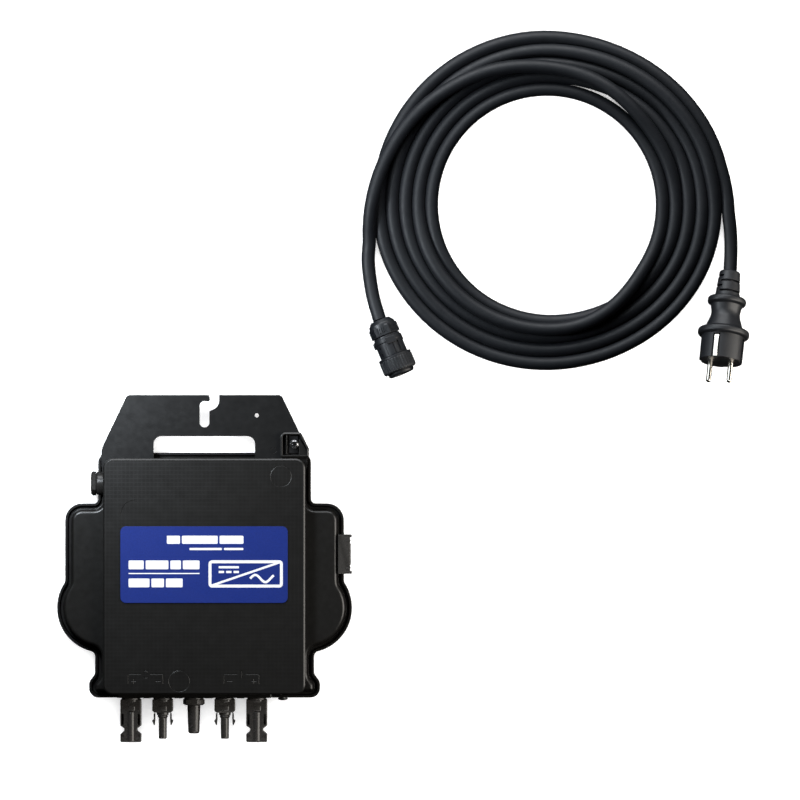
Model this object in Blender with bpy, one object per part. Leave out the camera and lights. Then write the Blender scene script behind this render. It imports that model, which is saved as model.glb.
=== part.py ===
"""Micro inverter lying on its back, with its mains lead coiled beside it.

Frame: +X to the right, +Y towards the hanging bracket, +Z out of the front cover. The origin is at
the middle of the inverter's footprint, on the surface that it lies on. Sizes are in millimetres and
become metres in solid(). The inverter's own Y runs from the bottom edge of its tray.
"""

import math

import bmesh
import bpy
from mathutils import Quaternion, Vector

MM = 0.001
GAP = 0.3  # between pieces that touch

# Driving dimensions of the housing
BODY_HEIGHT = 218.0
FOOT_X, NECK_X, EAR_X, SHOULDER_X = 102.8, 97.5, 124.1, 94.8
EAR_TOP = 172.8
LOBE_RADIUS, LOBE_X, LOBE_Y = 40.0, 91.3, 80.0
PLATE_TOP, TRAY_FLOOR, RIM_TOP, SHELL_TOP, THICKNESS = 4.0, 6.8, 16.0, 25.0, 36.5
RIM_WALL, SHELL_INSET, SHELL_WALL = 2.6, 5.5, 2.4
FIN_DEPTH, FIN_PITCH, FIN_WIDTH = 2.0, 14.0, 8.0
COVER_X, COVER_Y0, COVER_Y1, COVER_RADIUS, COVER_WALL = 90.0, 3.1, 213.1, 9.0, 2.4
PANEL_X0, PANEL_X1, PANEL_TOP = -78.0, 60.0, 27.0

# Bracket
BRACKET_TOP, BRACKET_Z, BRACKET_THICKNESS = 269.4, SHELL_TOP + GAP, 2.0
BRACKET_Z1 = BRACKET_Z + BRACKET_THICKNESS
HANDLE_X, HANDLE_Y0, HANDLE_Y1 = 45.8, 206.0, 233.3
GROUND_X, GROUND_Y = 80.0, 225.6

# Connectors along the bottom edge
PORT_Z = 16.9
SHROUD_X = (-65.5, 46.5)
NOSE_X = (-37.2, 18.1)
ANTENNA_X = -9.5
SHROUD_END, NOSE_LENGTH, ANTENNA_LENGTH = -39.6, 36.7, 31.9
LATCH_ROOT = -13.4
HOLE_RADIUS, SHANK_RADIUS = 6.4, 6.0

# Side fittings
AC_Y, AC_Z, AC_X1, AC_HEIGHT = 127.75, 16.6, 129.6, 34.7
VENT_PLACE = (-SHOULDER_X, 190.6, 14)
LED_PLACE = (69.6, 0, 11.2)

# Mains lead, in the same frame as the finished part
CORD_RADIUS = 6.0
COIL_X, COIL_Y, COIL_IN, COIL_OUT, COIL_HEIGHT = 305.0, 324.0, 97.0, 155.5, 24.0
COUPLER_ENTRY, COUPLER_TURN, COUPLER_RISE = (156.0, 221.0, 13.1), 22.5, 4.0
PLUG_ENTRY, PLUG_TURN, PLUG_RISE, PLUG_ROLL = (468.0, 264.0, 10.5), -6.5, 14.3, 20.0
LEAD_A = [(146.6, 290.6, 7.5), (145.6, 275, 6.8), (147.2, 258, 7.2), (150.4, 240, 9.6), (155.9, 221.4, 13.0)]
LEAD_B = [(466.7, 317.0, 6.4), (468.3, 303, 6.3), (469.0, 290, 6.5), (468.8, 277, 7.8), (468.1, 264.5, 10.3)]
PIN_SPACING, PIN_RADIUS, PIN_LENGTH, PLUG_FACE = 19.0, 2.4, 19.0, 83.2

SHIFT_Y = -(BRACKET_TOP + SHROUD_END) / 2  # puts the origin at the middle of the inverter

for old in list(bpy.data.objects):
    bpy.data.objects.remove(old, do_unlink=True)


def material(name, colour, roughness, metallic=0.0):
    made = bpy.data.materials.new(name)
    made.use_nodes = True
    shader = made.node_tree.nodes["Principled BSDF"]
    shader.inputs["Base Color"].default_value = (*colour, 1)
    shader.inputs["Roughness"].default_value = roughness
    shader.inputs["Metallic"].default_value = metallic
    return made


CASE = material("case_black", (0.018, 0.018, 0.019), 0.38)
ALLOY = material("alloy_black", (0.03, 0.03, 0.032), 0.45, 0.6)
SHEET = material("bracket_black", (0.035, 0.037, 0.04), 0.4, 0.3)
LABEL = material("label_blue", (0.017, 0.04, 0.29), 0.45)
PORT = material("connector_black", (0.012, 0.012, 0.012), 0.35)
RUBBER = material("lead_rubber", (0.028, 0.03, 0.034), 0.6)
STEEL = material("zinc_steel", (0.6, 0.6, 0.58), 0.3, 1.0)
NICKEL = material("nickel_brass", (0.75, 0.72, 0.62), 0.22, 1.0)
COPPER = material("tinned_copper", (0.8, 0.78, 0.72), 0.3, 1.0)
BOARD = material("board_green", (0.02, 0.11, 0.05), 0.5)
CORE = material("ferrite", (0.05, 0.05, 0.055), 0.7)
SLEEVE = material("sleeve_dark_blue", (0.02, 0.03, 0.09), 0.35)
SEAL = material("seal_rubber", (0.02, 0.02, 0.02), 0.7)
LENS = material("led_lens", (0.25, 0.3, 0.28), 0.2)


def frame(name, place, turn=(0, 0, 0), parent=None):
    empty = bpy.data.objects.new(name, None)
    bpy.context.scene.collection.objects.link(empty)
    empty.location = Vector(place) * MM
    empty.rotation_euler = tuple(turn)
    empty.parent = parent
    return empty


INVERTER = frame("inverter_frame", (0, SHIFT_Y, 0))


def solid(name, loops, skin, parent=INVERTER, at=(0, 0, 0), turn=(0, 0, 0), ring=False, smooth=True):
    """A closed body through loops of equal length. A ring joins its last loop to its first."""
    mesh = bpy.data.meshes.new(name)
    shape = bmesh.new()
    rows = [[shape.verts.new(Vector(p) * MM) for p in loop] for loop in loops]
    pairs = list(zip(rows, rows[1:]))
    if ring:
        pairs.append((rows[-1], rows[0]))
    else:
        shape.faces.new(rows[0])
        shape.faces.new(rows[-1])
    count = len(rows[0])
    for low, high in pairs:
        for i in range(count):
            j = (i + 1) % count
            shape.faces.new((low[i], low[j], high[j], high[i]))
    bmesh.ops.recalc_face_normals(shape, faces=shape.faces)
    shape.to_mesh(mesh)
    shape.free()
    mesh.materials.append(skin)
    if smooth:
        mesh.shade_smooth()
        mesh.set_sharp_from_angle(angle=math.radians(32))
    made = bpy.data.objects.new(name, mesh)
    bpy.context.scene.collection.objects.link(made)
    made.parent = parent
    made.location = Vector(at) * MM
    made.rotation_euler = tuple(turn)
    return made


def level(points, z):
    return [(x, y, z) for x, y in points]


def prism(name, points, z0, z1, skin, **more):
    return solid(name, [level(points, z0), level(points, z1)], skin, **more)


def block(name, low, high, skin, **more):
    (x0, y0, z0), (x1, y1, z1) = low, high
    return prism(name, [(x0, y0), (x1, y0), (x1, y1), (x0, y1)], z0, z1, skin, smooth=False, **more)


def circle(radius, sides, phase=0.0):
    step = 2 * math.pi / sides
    return [(radius * math.cos(phase + i * step), radius * math.sin(phase + i * step)) for i in range(sides)]


def lathe(name, profile, skin, sides=20, ring=False, phase=0.0, **more):
    """Turned about local Z. The profile is a list of (radius, height)."""
    loops = [level(circle(r, sides, phase), h) for r, h in profile]
    return solid(name, loops, skin, ring=ring, **more)


ALONG_X = (0, math.radians(90), 0)  # turns local Z to +X
ALONG_DOWN = (math.radians(90), 0, 0)  # turns local Z to -Y, and keeps local X


def rounded(corners, steps=4):
    """Points round a closed outline of (x, y, radius) corners, convex or concave."""
    points = []
    for i, (x, y, r) in enumerate(corners):
        here = Vector((x, y))
        back = (Vector(corners[i - 1][:2]) - here).normalized()
        ahead = (Vector(corners[(i + 1) % len(corners)][:2]) - here).normalized()
        if r == 0:
            points.append((x, y))
            continue
        half = back.angle(ahead) / 2
        reach = r / math.tan(half)
        middle = here + (back + ahead).normalized() * (r / math.sin(half))
        first, last = here + back * reach - middle, here + ahead * reach - middle
        sweep = first.angle_signed(last)
        start = math.atan2(first.y, first.x)
        for k in range(steps + 1):
            a = start - sweep * k / steps
            points.append((middle.x + r * math.cos(a), middle.y + r * math.sin(a)))
    return points


def inset(points, distance):
    """The outline moved inwards; points run anticlockwise."""
    moved = []
    for i, (x, y) in enumerate(points):
        before = (Vector((x, y)) - Vector(points[i - 1])).normalized()
        after = (Vector(points[(i + 1) % len(points)]) - Vector((x, y))).normalized()
        normal = Vector((-before.y - after.y, before.x + after.x)).normalized()
        stretch = distance / max(0.3, normal.dot(Vector((-before.y, before.x))))
        moved.append((x + normal.x * stretch, y + normal.y * stretch))
    return moved


def body_outline():
    """The tray's outline: feet, neck, round lobes, ears and shoulders, the same on both sides."""
    lobe_low = -math.asin(math.sqrt(1 - ((NECK_X - LOBE_X) / LOBE_RADIUS) ** 2))
    lobe_high = math.acos((EAR_X - LOBE_X) / LOBE_RADIUS)
    foot = [(FOOT_X, 0, 8.4), (FOOT_X, 14, 8.4), (NECK_X, 21, 5)]
    lower = rounded([(0, 30, 0), (0, 0, 0), *foot, (NECK_X, 38, 0)])
    steps = 14
    lobe = []
    for i in range(steps + 1):
        a = lobe_low + (lobe_high - lobe_low) * i / steps
        lobe.append((LOBE_X + LOBE_RADIUS * math.cos(a), LOBE_Y + LOBE_RADIUS * math.sin(a)))
    upper = rounded([
        (EAR_X, 120, 0),
        (EAR_X, EAR_TOP, 15),
        (SHOULDER_X, EAR_TOP, 4),
        (SHOULDER_X, BODY_HEIGHT, 9),
        (0, BODY_HEIGHT, 0),
        (0, 180, 0),
    ])
    right = [p for p in lower[2:-1]] + lobe + [p for p in upper[1:-2]]
    left = [(-x, y) for x, y in reversed(right)]
    return right + left


def cutter(made):
    made.hide_render = True
    made.display_type = "WIRE"
    return made


def cut(target, *tools):
    for tool in tools:
        change = target.modifiers.new("cut_" + tool.name, "BOOLEAN")
        change.operation = "DIFFERENCE"
        change.object = cutter(tool)


OUTLINE = body_outline()


def bores(name, places, radius, y0, y1, z, sides=14):
    """One cutter for a row of holes along Y."""
    made = []
    for i, x in enumerate(places):
        profile = [(radius, 0), (radius, y1 - y0)]
        made.append(lathe(f"{name}_{i}", profile, PORT, sides, at=(x, y1, z), turn=ALONG_DOWN))
    return made


def back_plate():
    plate = prism("back_plate", inset(OUTLINE, 3.0), 0, PLATE_TOP, ALLOY)
    for i in range(-6, 7):
        if i == 0:
            continue
        x = i * FIN_PITCH + math.copysign(FIN_PITCH / 2, i)
        reach = 66 if abs(x) < 84 else 34
        low = (x - (FIN_PITCH - FIN_WIDTH) / 2, 100 - reach, -2)
        high = (x + (FIN_PITCH - FIN_WIDTH) / 2, 100 + reach, FIN_DEPTH)
        cut(plate, block(f"fin_gap_{i + 6}", low, high, ALLOY))
    return plate


SCREW_PLACES = [(-84, 16), (84, 16), (-84, 196), (84, 196)]


def back_screws(plate, tray):
    """Four countersunk screws hold the plate to the tray."""
    for i, (x, y) in enumerate(SCREW_PLACES, 1):
        place = (x, y, 0)
        hole = [(4.0, -1), (4.0, 2.4), (1.9, 2.4), (1.9, 5)]
        cut(plate, lathe(f"plate_hole_{i}", hole, ALLOY, 12, at=place))
        cut(tray, lathe(f"tray_hole_{i}", [(1.9, 3), (1.9, 9)], ALLOY, 12, at=place))
        profile = [(3.5, 0.3), (3.5, 2.1), (1.5, 2.1), (1.5, 7.6)]
        screw = lathe(f"back_screw_{i}", profile, STEEL, 12, at=place)
        cut(screw, prism(f"drive_{i}", circle(1.5, 6), -1, 1.4, STEEL, at=place))


def tray():
    inner = inset(OUTLINE, RIM_WALL)
    loops = [
        level(inset(OUTLINE, 0.8), PLATE_TOP + GAP),
        level(OUTLINE, PLATE_TOP + GAP + 1),
        level(OUTLINE, RIM_TOP - 0.8),
        level(inset(OUTLINE, 0.6), RIM_TOP),
        level(inset(OUTLINE, RIM_WALL - 0.4), RIM_TOP),
        level(inner, RIM_TOP - 0.6),
        level(inner, TRAY_FLOOR),
    ]
    made = solid("back_tray", loops, CASE)
    panel_space = block("panel_space", (PANEL_X0, -2, TRAY_FLOOR + 0.4), (PANEL_X1, 6, 30), CASE)
    ac_low = (EAR_X - RIM_WALL - 4, AC_Y - AC_HEIGHT / 2 - GAP, TRAY_FLOOR + 0.2)
    ac_space = block("ac_space", ac_low, (EAR_X + 4, AC_Y + AC_HEIGHT / 2 + GAP, 30), CASE)
    vent_hole = lathe("vent_hole", [(6.3, -8), (6.3, 8)], CASE, 14, at=VENT_PLACE, turn=ALONG_X)
    led_hole = lathe("led_hole", [(3.6, -6), (3.6, 6)], CASE, 12, at=LED_PLACE, turn=ALONG_DOWN)
    cut(made, panel_space, ac_space, vent_hole, led_hole)
    return made


def shell():
    """The lobed front shell, open underneath, with a wide window under the cover."""
    inner = inset(OUTLINE, SHELL_INSET + SHELL_WALL)
    outer = inset(OUTLINE, SHELL_INSET)
    foot = inset(OUTLINE, RIM_WALL + GAP)
    loops = [
        level(inner, SHELL_TOP - SHELL_WALL),
        level(inner, TRAY_FLOOR + 1.4),
        level(foot, TRAY_FLOOR + 1.4),
        level(foot, TRAY_FLOOR + 3.4),
        level(outer, TRAY_FLOOR + 3.4),
        level(outer, SHELL_TOP - 1.6),
        level(inset(OUTLINE, SHELL_INSET + 0.5), SHELL_TOP - 0.5),
        level(inset(OUTLINE, SHELL_INSET + 1.6), SHELL_TOP),
    ]
    made = solid("front_shell", loops, CASE)
    window = block("shell_window", (-80, 14, 20), (80, 188, 28), CASE)
    panel_space = block("shell_panel_space", (PANEL_X0, -2, 5), (PANEL_X1, SHELL_INSET + 0.1, 28), CASE)
    ac_low = (EAR_X - SHELL_INSET - 0.1, AC_Y - AC_HEIGHT / 2 - GAP, 5)
    ac_space = block("shell_ac_space", ac_low, (EAR_X + 4, AC_Y + AC_HEIGHT / 2 + GAP, 28), CASE)
    vent_hole = lathe("shell_vent_hole", [(6.3, -12), (6.3, 12)], CASE, 14, at=VENT_PLACE, turn=ALONG_X)
    cut(made, window, panel_space, ac_space, vent_hole)
    cut(made, *bores("shell_bore", (*SHROUD_X, *NOSE_X, ANTENNA_X), HOLE_RADIUS, 2, 12, PORT_Z))
    return made


def housing_gasket():
    outer, inner = inset(OUTLINE, SHELL_INSET + GAP), inset(OUTLINE, SHELL_INSET + SHELL_WALL)
    z0, z1 = TRAY_FLOOR + GAP, TRAY_FLOOR + 1.4 - GAP
    loops = [level(outer, z0), level(outer, z1), level(inner, z1), level(inner, z0)]
    solid("housing_gasket", loops, SEAL, ring=True)


def cover():
    corners = [(-COVER_X, COVER_Y0), (COVER_X, COVER_Y0), (COVER_X, COVER_Y1), (-COVER_X, COVER_Y1)]
    outer = rounded([(x, y, COVER_RADIUS) for x, y in corners], 6)
    inner = inset(outer, COVER_WALL)
    z0 = SHELL_TOP + GAP
    loops = [
        level(inner, THICKNESS - COVER_WALL),
        level(inner, z0),
        level(outer, z0),
        level(outer, THICKNESS - 1.8),
        level(inset(outer, 0.5), THICKNESS - 0.5),
        level(inset(outer, 1.8), THICKNESS),
    ]
    made = solid("front_cover", loops, CASE)
    passage = block("bracket_passage", (-100, 203.2, z0 - 2), (100, 220, BRACKET_Z1 + GAP), CASE)
    panel_space = block("cover_panel_space", (PANEL_X0, 0, 20), (PANEL_X1, 8, PANEL_TOP + GAP), CASE)
    cut(made, passage, panel_space)
    return made


def label():
    corners = [(-74.3, 84.7, 5.5), (74.3, 84.7, 5.5), (74.3, 152.7, 5.5), (-74.3, 152.7, 5.5)]
    z = THICKNESS + GAP
    prism("label_plate", rounded(corners), z, z + 0.5, LABEL)


def hook_slot():
    """The cut that a rail bolt drops through: in at the top, then left under the lip."""
    points = [(13.6, 275), (4.3, 275), (4.3, 264.4), (3.0, 263.4)]
    points += [(-4.5 + 3.6 + 3.6 * math.cos(a), 260 + 3.6 * math.sin(a)) for a in (1.57, 2.1, 2.6, 3.14)]
    for i in range(9):
        a = math.pi + math.pi * i / 8
        points.append((0.1 + 4.6 * math.cos(a), 244.9 + 4.6 * math.sin(a)))
    points.append((4.7, 255))
    for i in range(7):
        a = math.radians(-76 + 76 * i / 6)
        points.append((4.3 + 9.3 * math.cos(a), 264.6 + 9.3 * math.sin(a)))
    return points


def bracket():
    half = [(68.6, BRACKET_TOP, 4), (90.4, 223.9, 4), (91.5, 219, 3), (91.5, 203.7, 2)]
    corners = [(x, y, r) for x, y, r in reversed(half)] + [(-x, y, r) for x, y, r in half]
    made = prism("mounting_bracket", rounded(corners), BRACKET_Z, BRACKET_Z1, SHEET)
    handle = [(-HANDLE_X, HANDLE_Y0, 2), (HANDLE_X, HANDLE_Y0, 2)]
    handle += [(HANDLE_X, HANDLE_Y1, 7), (-HANDLE_X, HANDLE_Y1, 7)]
    low, high = BRACKET_Z - 2, BRACKET_Z1 + 2
    cut(made, prism("handle_cut", rounded(handle), low, high, SHEET))
    cut(made, prism("hook_cut", hook_slot(), low, high, SHEET))
    cut(made, prism("tie_hole", circle(2.2, 12), low, high, SHEET, at=(46.5, 251.6, 0)))
    cut(made, prism("ground_hole", circle(2.3, 12), low, high, SHEET, at=(GROUND_X, GROUND_Y, 0)))
    return made


def ground_terminal():
    z = BRACKET_Z1 + GAP
    corners = [(69.0, 213.9, 1.8), (91.0, 213.9, 1.8), (91.0, 221.0, 3), (84.2, 235.4, 3), (69.0, 235.4, 4.5)]
    outer = rounded(corners)
    inner = inset(outer, 1.5)
    top = z + 4.8
    loops = [level(outer, z), level(outer, top), level(inner, top), level(inner, z)]
    solid("ground_bezel", loops, CASE, ring=True)
    place = (GROUND_X, GROUND_Y, 0)
    low, high = (GROUND_X - 5.0, GROUND_Y - 8.0, z), (GROUND_X + 3.4, GROUND_Y + 7.4, z + 1.4)
    plate = block("ground_plate", low, high, STEEL)
    cut(plate, prism("ground_plate_hole", circle(2.3, 12), z - 2, z + 4, STEEL, at=place))
    seat = z + 1.4 + GAP
    profile = [(2.0, z - 6.2), (2.0, seat), (4.2, seat)]
    profile += [(4.1, seat + 1.2), (3.3, seat + 2.2), (1.7, seat + 2.7)]
    screw = lathe("ground_screw", profile, STEEL, 16, at=place)
    for i, (a, b) in enumerate(((2.0, 0.45), (0.45, 2.0))):
        cut(screw, block(f"cross_{i}", (-a, -b, seat + 1.3), (a, b, seat + 6), STEEL, at=place))


def connector_panel():
    low, high = (PANEL_X0 + GAP, 0, TRAY_FLOOR + 0.4 + GAP), (PANEL_X1 - GAP, SHELL_INSET - GAP, PANEL_TOP)
    made = block("connector_panel", low, high, CASE)
    cut(made, *bores("panel_bore", (*SHROUD_X, *NOSE_X, ANTENNA_X), HOLE_RADIUS, -2, 8, PORT_Z))
    return made


def threaded_shank(name, x, reach):
    """A round flange and a threaded stem through the panel."""
    profile = [(SHANK_RADIUS, -12), (SHANK_RADIUS, GAP), (8.4, GAP), (8.4, reach)]
    return lathe(name, profile, PORT, 16, at=(x, 0, PORT_Z), turn=ALONG_DOWN)


def shroud(number, x):
    """Socket shroud: a wide body with side notches that the other half's latches snap into."""
    notch_mid, notch_depth, half = -28.3, 3.6, 9.4
    side = [
        (half, -0.9),
        (half, notch_mid + 3.4),
        (half - notch_depth, notch_mid + 0.9),
        (half - notch_depth, notch_mid - 0.9),
        (half, notch_mid - 4.2),
        (half, SHROUD_END + 1),
        (half - 1, SHROUD_END),
    ]
    points = [(-px, py) for px, py in side] + [(px, py) for px, py in reversed(side)]
    made = prism(f"dc_shroud_{number}", points, -6.6, 6.6, PORT, at=(x, 0, PORT_Z), smooth=False)
    stem = made.modifiers.new("stem", "BOOLEAN")
    stem.operation = "UNION"
    stem.object = cutter(threaded_shank(f"shroud_stem_{number}", x, 3))
    at = {"at": (x, 0, PORT_Z), "turn": ALONG_DOWN}
    cut(made, lathe(f"shroud_bore_{number}", [(4.6, 13), (4.6, 44)], PORT, 14, **at))
    for s in (-1, 1):
        low, high = (s * 7.1 - 1.1, -24.6, -20), (s * 7.1 + 1.1, -14.4, 20)
        cut(made, block(f"window_{number}_{s}", low, high, PORT, at=(x, 0, PORT_Z)))
    pin = [(2.6, 13.4), (1.5, 14.4), (1.5, 31), (0.7, 32.2)]
    lathe(f"dc_pin_{number}", pin, COPPER, 10, **at)


def nose(number, x):
    """Plug nose: a slim tube on a round base, with a latch arm on each side."""
    at = {"at": (x, 0, PORT_Z), "turn": ALONG_DOWN}
    profile = [
        (SHANK_RADIUS, -12),
        (SHANK_RADIUS, GAP),
        (8.2, GAP),
        (9.1, 2),
        (9.1, 11.8),
        (8.3, 13.2),
        (5.2, 13.2),
        (5.0, 17),
        (3.6, 18.2),
        (3.6, NOSE_LENGTH - 0.8),
        (2.9, NOSE_LENGTH),
        (1.9, NOSE_LENGTH),
        (1.9, -12),
    ]
    lathe(f"dc_nose_{number}", profile, PORT, 16, ring=True, **at)
    sleeve = [(0.9, 3), (1.6, 3), (1.6, 34), (0.9, 34)]
    lathe(f"dc_sleeve_{number}", sleeve, COPPER, 8, ring=True, **at)
    for letter, s in (("a", -1), ("b", 1)):
        barb = [(0, 0), (0.5, -6), (1.9, -6.6), (1.9, -7.6), (0.3, -11.2)]
        inside = [(-0.4, -11.2), (-1.0, -6.4), (-1.0, 0)]
        points = [(s * px, py) for px, py in barb + inside]
        place = (x + s * 7.5, LATCH_ROOT - GAP, PORT_Z)
        prism(f"latch_{number}{letter}", points, -2.6, 2.6, PORT, at=place, smooth=False)


def antenna():
    """A short mast that ends in a dome, held by a hex nut against the panel."""
    at = {"at": (ANTENNA_X, 0, PORT_Z), "turn": ALONG_DOWN}
    profile = [(4.2, -8), (4.2, 6.9), (5.7, 6.9), (5.7, 8.4)]
    profile += [(4.9, ANTENNA_LENGTH - 1.3), (4.0, ANTENNA_LENGTH)]
    lathe("antenna_mast", profile, PORT, 18, **at)
    nut = [(5.3, 0.5), (5.3, 6.6), (9.9, 6.6), (9.9, 1.6), (8.4, 0.5)]
    lathe("antenna_nut", nut, PORT, 6, ring=True, phase=math.radians(12), **at)


def ac_port():
    """Mains socket on the right side: a housing, an insert with three contact pins."""
    y, half, lip = AC_Y, AC_HEIGHT / 2, 1.9
    x0, z0, z1 = EAR_X - SHELL_INSET + GAP, TRAY_FLOOR + 0.5, 26.2
    points = [(x0, y - half), (131.1, y - half), (131.1, y - half + lip), (AC_X1, y - half + lip)]
    points += [(AC_X1, y + half - lip), (131.1, y + half - lip), (131.1, y + half), (x0, y + half)]
    made = prism("ac_port_housing", points, z0, z1, PORT, smooth=False)
    centre = (x0, y, AC_Z)
    cut(made, lathe("ac_bore", [(8.6, 1.6), (8.6, 20)], PORT, 16, at=centre, turn=ALONG_X))
    insert = lathe("ac_port_insert", [(8.0, 1.9), (8.0, 3.4)], PORT, 16, at=centre, turn=ALONG_X)
    for i in range(3):
        a = math.radians(90 + 120 * i)
        place = (x0, y + 5.0 * math.cos(a), AC_Z + 5.0 * math.sin(a))
        cut(insert, lathe(f"ac_pin_hole_{i}", [(1.7, 0), (1.7, 6)], PORT, 8, at=place, turn=ALONG_X))
        lathe(f"ac_pin_{i + 1}", [(1.3, 1.9), (1.3, 8.6), (0.8, 9.4)], NICKEL, 8, at=place, turn=ALONG_X)


def vent():
    """Pressure vent: a hex cap on a threaded stem, with its seal."""
    profile = [(9.6, -6.3), (10.9, -4.2), (10.9, -1.9), (5.4, -1.9), (5.4, 11), (3.0, 11)]
    lathe("vent_plug", profile, PORT, 6, phase=math.radians(30), at=VENT_PLACE, turn=ALONG_X)
    seal = [(6.0, -1.5), (9.0, -1.5), (9.0, -GAP), (6.0, -GAP)]
    lathe("vent_seal", seal, SEAL, 16, ring=True, at=VENT_PLACE, turn=ALONG_X)


def status_light():
    profile = [(3.2, -2.2), (3.2, GAP), (4.5, GAP), (4.2, 1.8), (2.4, 2.6)]
    lathe("status_led_lens", profile, LENS, 14, at=LED_PLACE, turn=ALONG_DOWN)


def electronics():
    """What sits inside: board, power parts and radio, on a thermal pad."""
    block("thermal_pad", (-52, 40, TRAY_FLOOR + GAP), (52, 168, 8.7), SEAL)
    corners = [(-78, 16, 4), (78, 16, 4), (78, 186, 4), (-78, 186, 4)]
    prism("main_board", rounded(corners, 2), 9.0, 10.6, BOARD)
    z = 10.6 + GAP
    for i, x in enumerate((-48, 0), 1):
        block(f"transformer_{i}", (x - 19, 108, z), (x + 19, 146, z + 19), CORE)
    for i, x in enumerate((-50, -20), 1):
        lathe(f"capacitor_{i}", [(11, z), (11, z + 21), (10.2, z + 21.6)], SLEEVE, 16, at=(x, 74, 0))
    lathe("filter_choke", [(5, z), (13, z), (13, z + 11), (5, z + 11)], CORE, 16, ring=True, at=(40, 84, 0))
    block("grid_relay", (30, 118, z), (58, 134, z + 15), SLEEVE)
    block("radio_module", (-14, 24, z), (8, 44, z + 3), STEEL)
    block("output_terminal", (62, 118, z), (74, 140, z + 11), BOARD)


def smooth_line(route, spacing):
    """Points about spacing apart along a Catmull-Rom curve through the route."""
    places = [Vector(p) for p in route]
    places = [2 * places[0] - places[1], *places, 2 * places[-1] - places[-2]]
    line = []
    for a, b, c, d in zip(places, places[1:], places[2:], places[3:]):
        steps = max(1, round((c - b).length / spacing))
        for i in range(steps):
            t = i / steps
            bend = (2 * a - 5 * b + 4 * c - d) * t**2 + (3 * b - a - 3 * c + d) * t**3
            line.append(0.5 * (2 * b + (c - a) * t + bend))
    line.append(places[-2])
    return line


def tube(name, route):
    """A stretch of the lead that isn't coiled."""
    line = smooth_line(route, 2.2 * CORD_RADIUS)
    data = bpy.data.curves.new(name, "CURVE")
    data.dimensions = "3D"
    data.bevel_depth = CORD_RADIUS * MM
    data.bevel_resolution = 2
    data.use_fill_caps = True
    spline = data.splines.new("POLY")
    spline.points.add(len(line) - 1)
    for point, place in zip(spline.points, line):
        point.co = (*(place * MM), 1)
    data.materials.append(RUBBER)
    bpy.context.scene.collection.objects.link(bpy.data.objects.new(name, data))


def axis_frame(name, entry, turn, rise, roll=0.0):
    """Local Z runs from the cable entry to the open end: turn degrees from -Y towards +X, rising."""
    turn, rise = math.radians(turn), math.radians(rise)
    ahead = Vector((math.sin(turn) * math.cos(rise), -math.cos(turn) * math.cos(rise), math.sin(rise)))
    spin = Quaternion((0, 0, 1), math.radians(roll))
    return frame(name, entry, (ahead.to_track_quat("Z", "Y") @ spin).to_euler())


def coupler():
    """The lead's own half of the mains connector."""
    more = {"parent": axis_frame("coupler_axis", COUPLER_ENTRY, COUPLER_TURN, COUPLER_RISE)}
    hole = CORD_RADIUS + GAP
    nut = [(hole, 0), (9.2, 0), (11.4, 3.2), (12.6, 6.2), (12.6, 15.0), (hole, 15.0)]
    lathe("coupler_gland_nut", nut, PORT, 16, ring=True, **more)
    body = [
        (7.0, 15.3),
        (12.9, 15.3),
        (12.9, 33.6),
        (12.0, 33.6),
        (12.0, 49.5),
        (10.6, 52.0),
        (9.6, 52.0),
        (9.6, 40.0),
        (7.0, 40.0),
    ]
    lathe("coupler_body", body, PORT, 18, ring=True, **more)
    ring = [(12.5, 34.0), (15.2, 34.0), (15.2, 46.6), (14.2, 48.6), (12.5, 48.6)]
    lathe("coupler_ring", ring, PORT, 24, ring=True, **more)
    core = lathe("coupler_insert", [(6.6, 18), (6.6, 40.4), (9.2, 40.4), (9.2, 49)], PORT, 16, **more)
    for i in range(3):
        a = math.radians(90 + 120 * i)
        place = (5.0 * math.cos(a), 5.0 * math.sin(a), 0)
        cut(core, lathe(f"coupler_hole_{i}", [(1.4, 42), (1.4, 52)], PORT, 8, at=place, **more))


def plug():
    """Two-pin earthed mains plug with a grip between two flanges."""
    more = {"parent": axis_frame("plug_axis", PLUG_ENTRY, PLUG_TURN, PLUG_RISE, PLUG_ROLL)}
    hole = CORD_RADIUS + GAP
    relief = [(hole, 0), (8.4, 0), (9.2, 1.4), (11.2, 23.6), (hole, 23.6)]
    lathe("plug_strain_relief", relief, RUBBER, 16, ring=True, **more)
    grip = [(10.8, 23.9), (16.0, 23.9), (17.2, 26), (17.2, 29), (15.6, 31.5), (13.6, 34.5), (13.0, 39)]
    flange = [(13.8, 44.5), (16.6, 50.5), (21.6, 53.2), (23.0, 55.2), (23.0, 58.6), (21.8, 60.4)]
    face = [(19.2, 60.4), (19.2, 82.4), (18.4, PLUG_FACE)]
    made = lathe("plug_body", grip + flange + face, RUBBER, 24, **more)
    for s in (-1, 1):
        low, high = (s * 19.4 - 1.8, -2.6, 61.5), (s * 19.4 + 1.8, 2.6, 90)
        cut(made, block(f"guide_groove_{s}", low, high, RUBBER, **more))
        low, high = (-3.4, s * 19.1 - 2.2, 61.5), (3.4, s * 19.1 + 2.2, 90)
        cut(made, block(f"earth_groove_{s}", low, high, RUBBER, **more))
    for i, s in enumerate((-1, 1), 1):
        place = (s * PIN_SPACING / 2, 0, 0)
        hole = [(PIN_RADIUS + GAP, 63.6), (PIN_RADIUS + GAP, 90)]
        cut(made, lathe(f"pin_hole_{i}", hole, RUBBER, 12, at=place, **more))
        tip = PLUG_FACE + PIN_LENGTH
        pin = [(PIN_RADIUS, 64), (PIN_RADIUS, tip - 1.2), (PIN_RADIUS - 1, tip)]
        lathe(f"plug_pin_{i}", pin, NICKEL, 12, at=place, **more)
        y0, y1 = sorted((s * 17.2, s * 18.1))
        block(f"plug_earth_clip_{i}", (-2.4, y0, 62), (2.4, y1, 81), NICKEL, **more)


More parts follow.
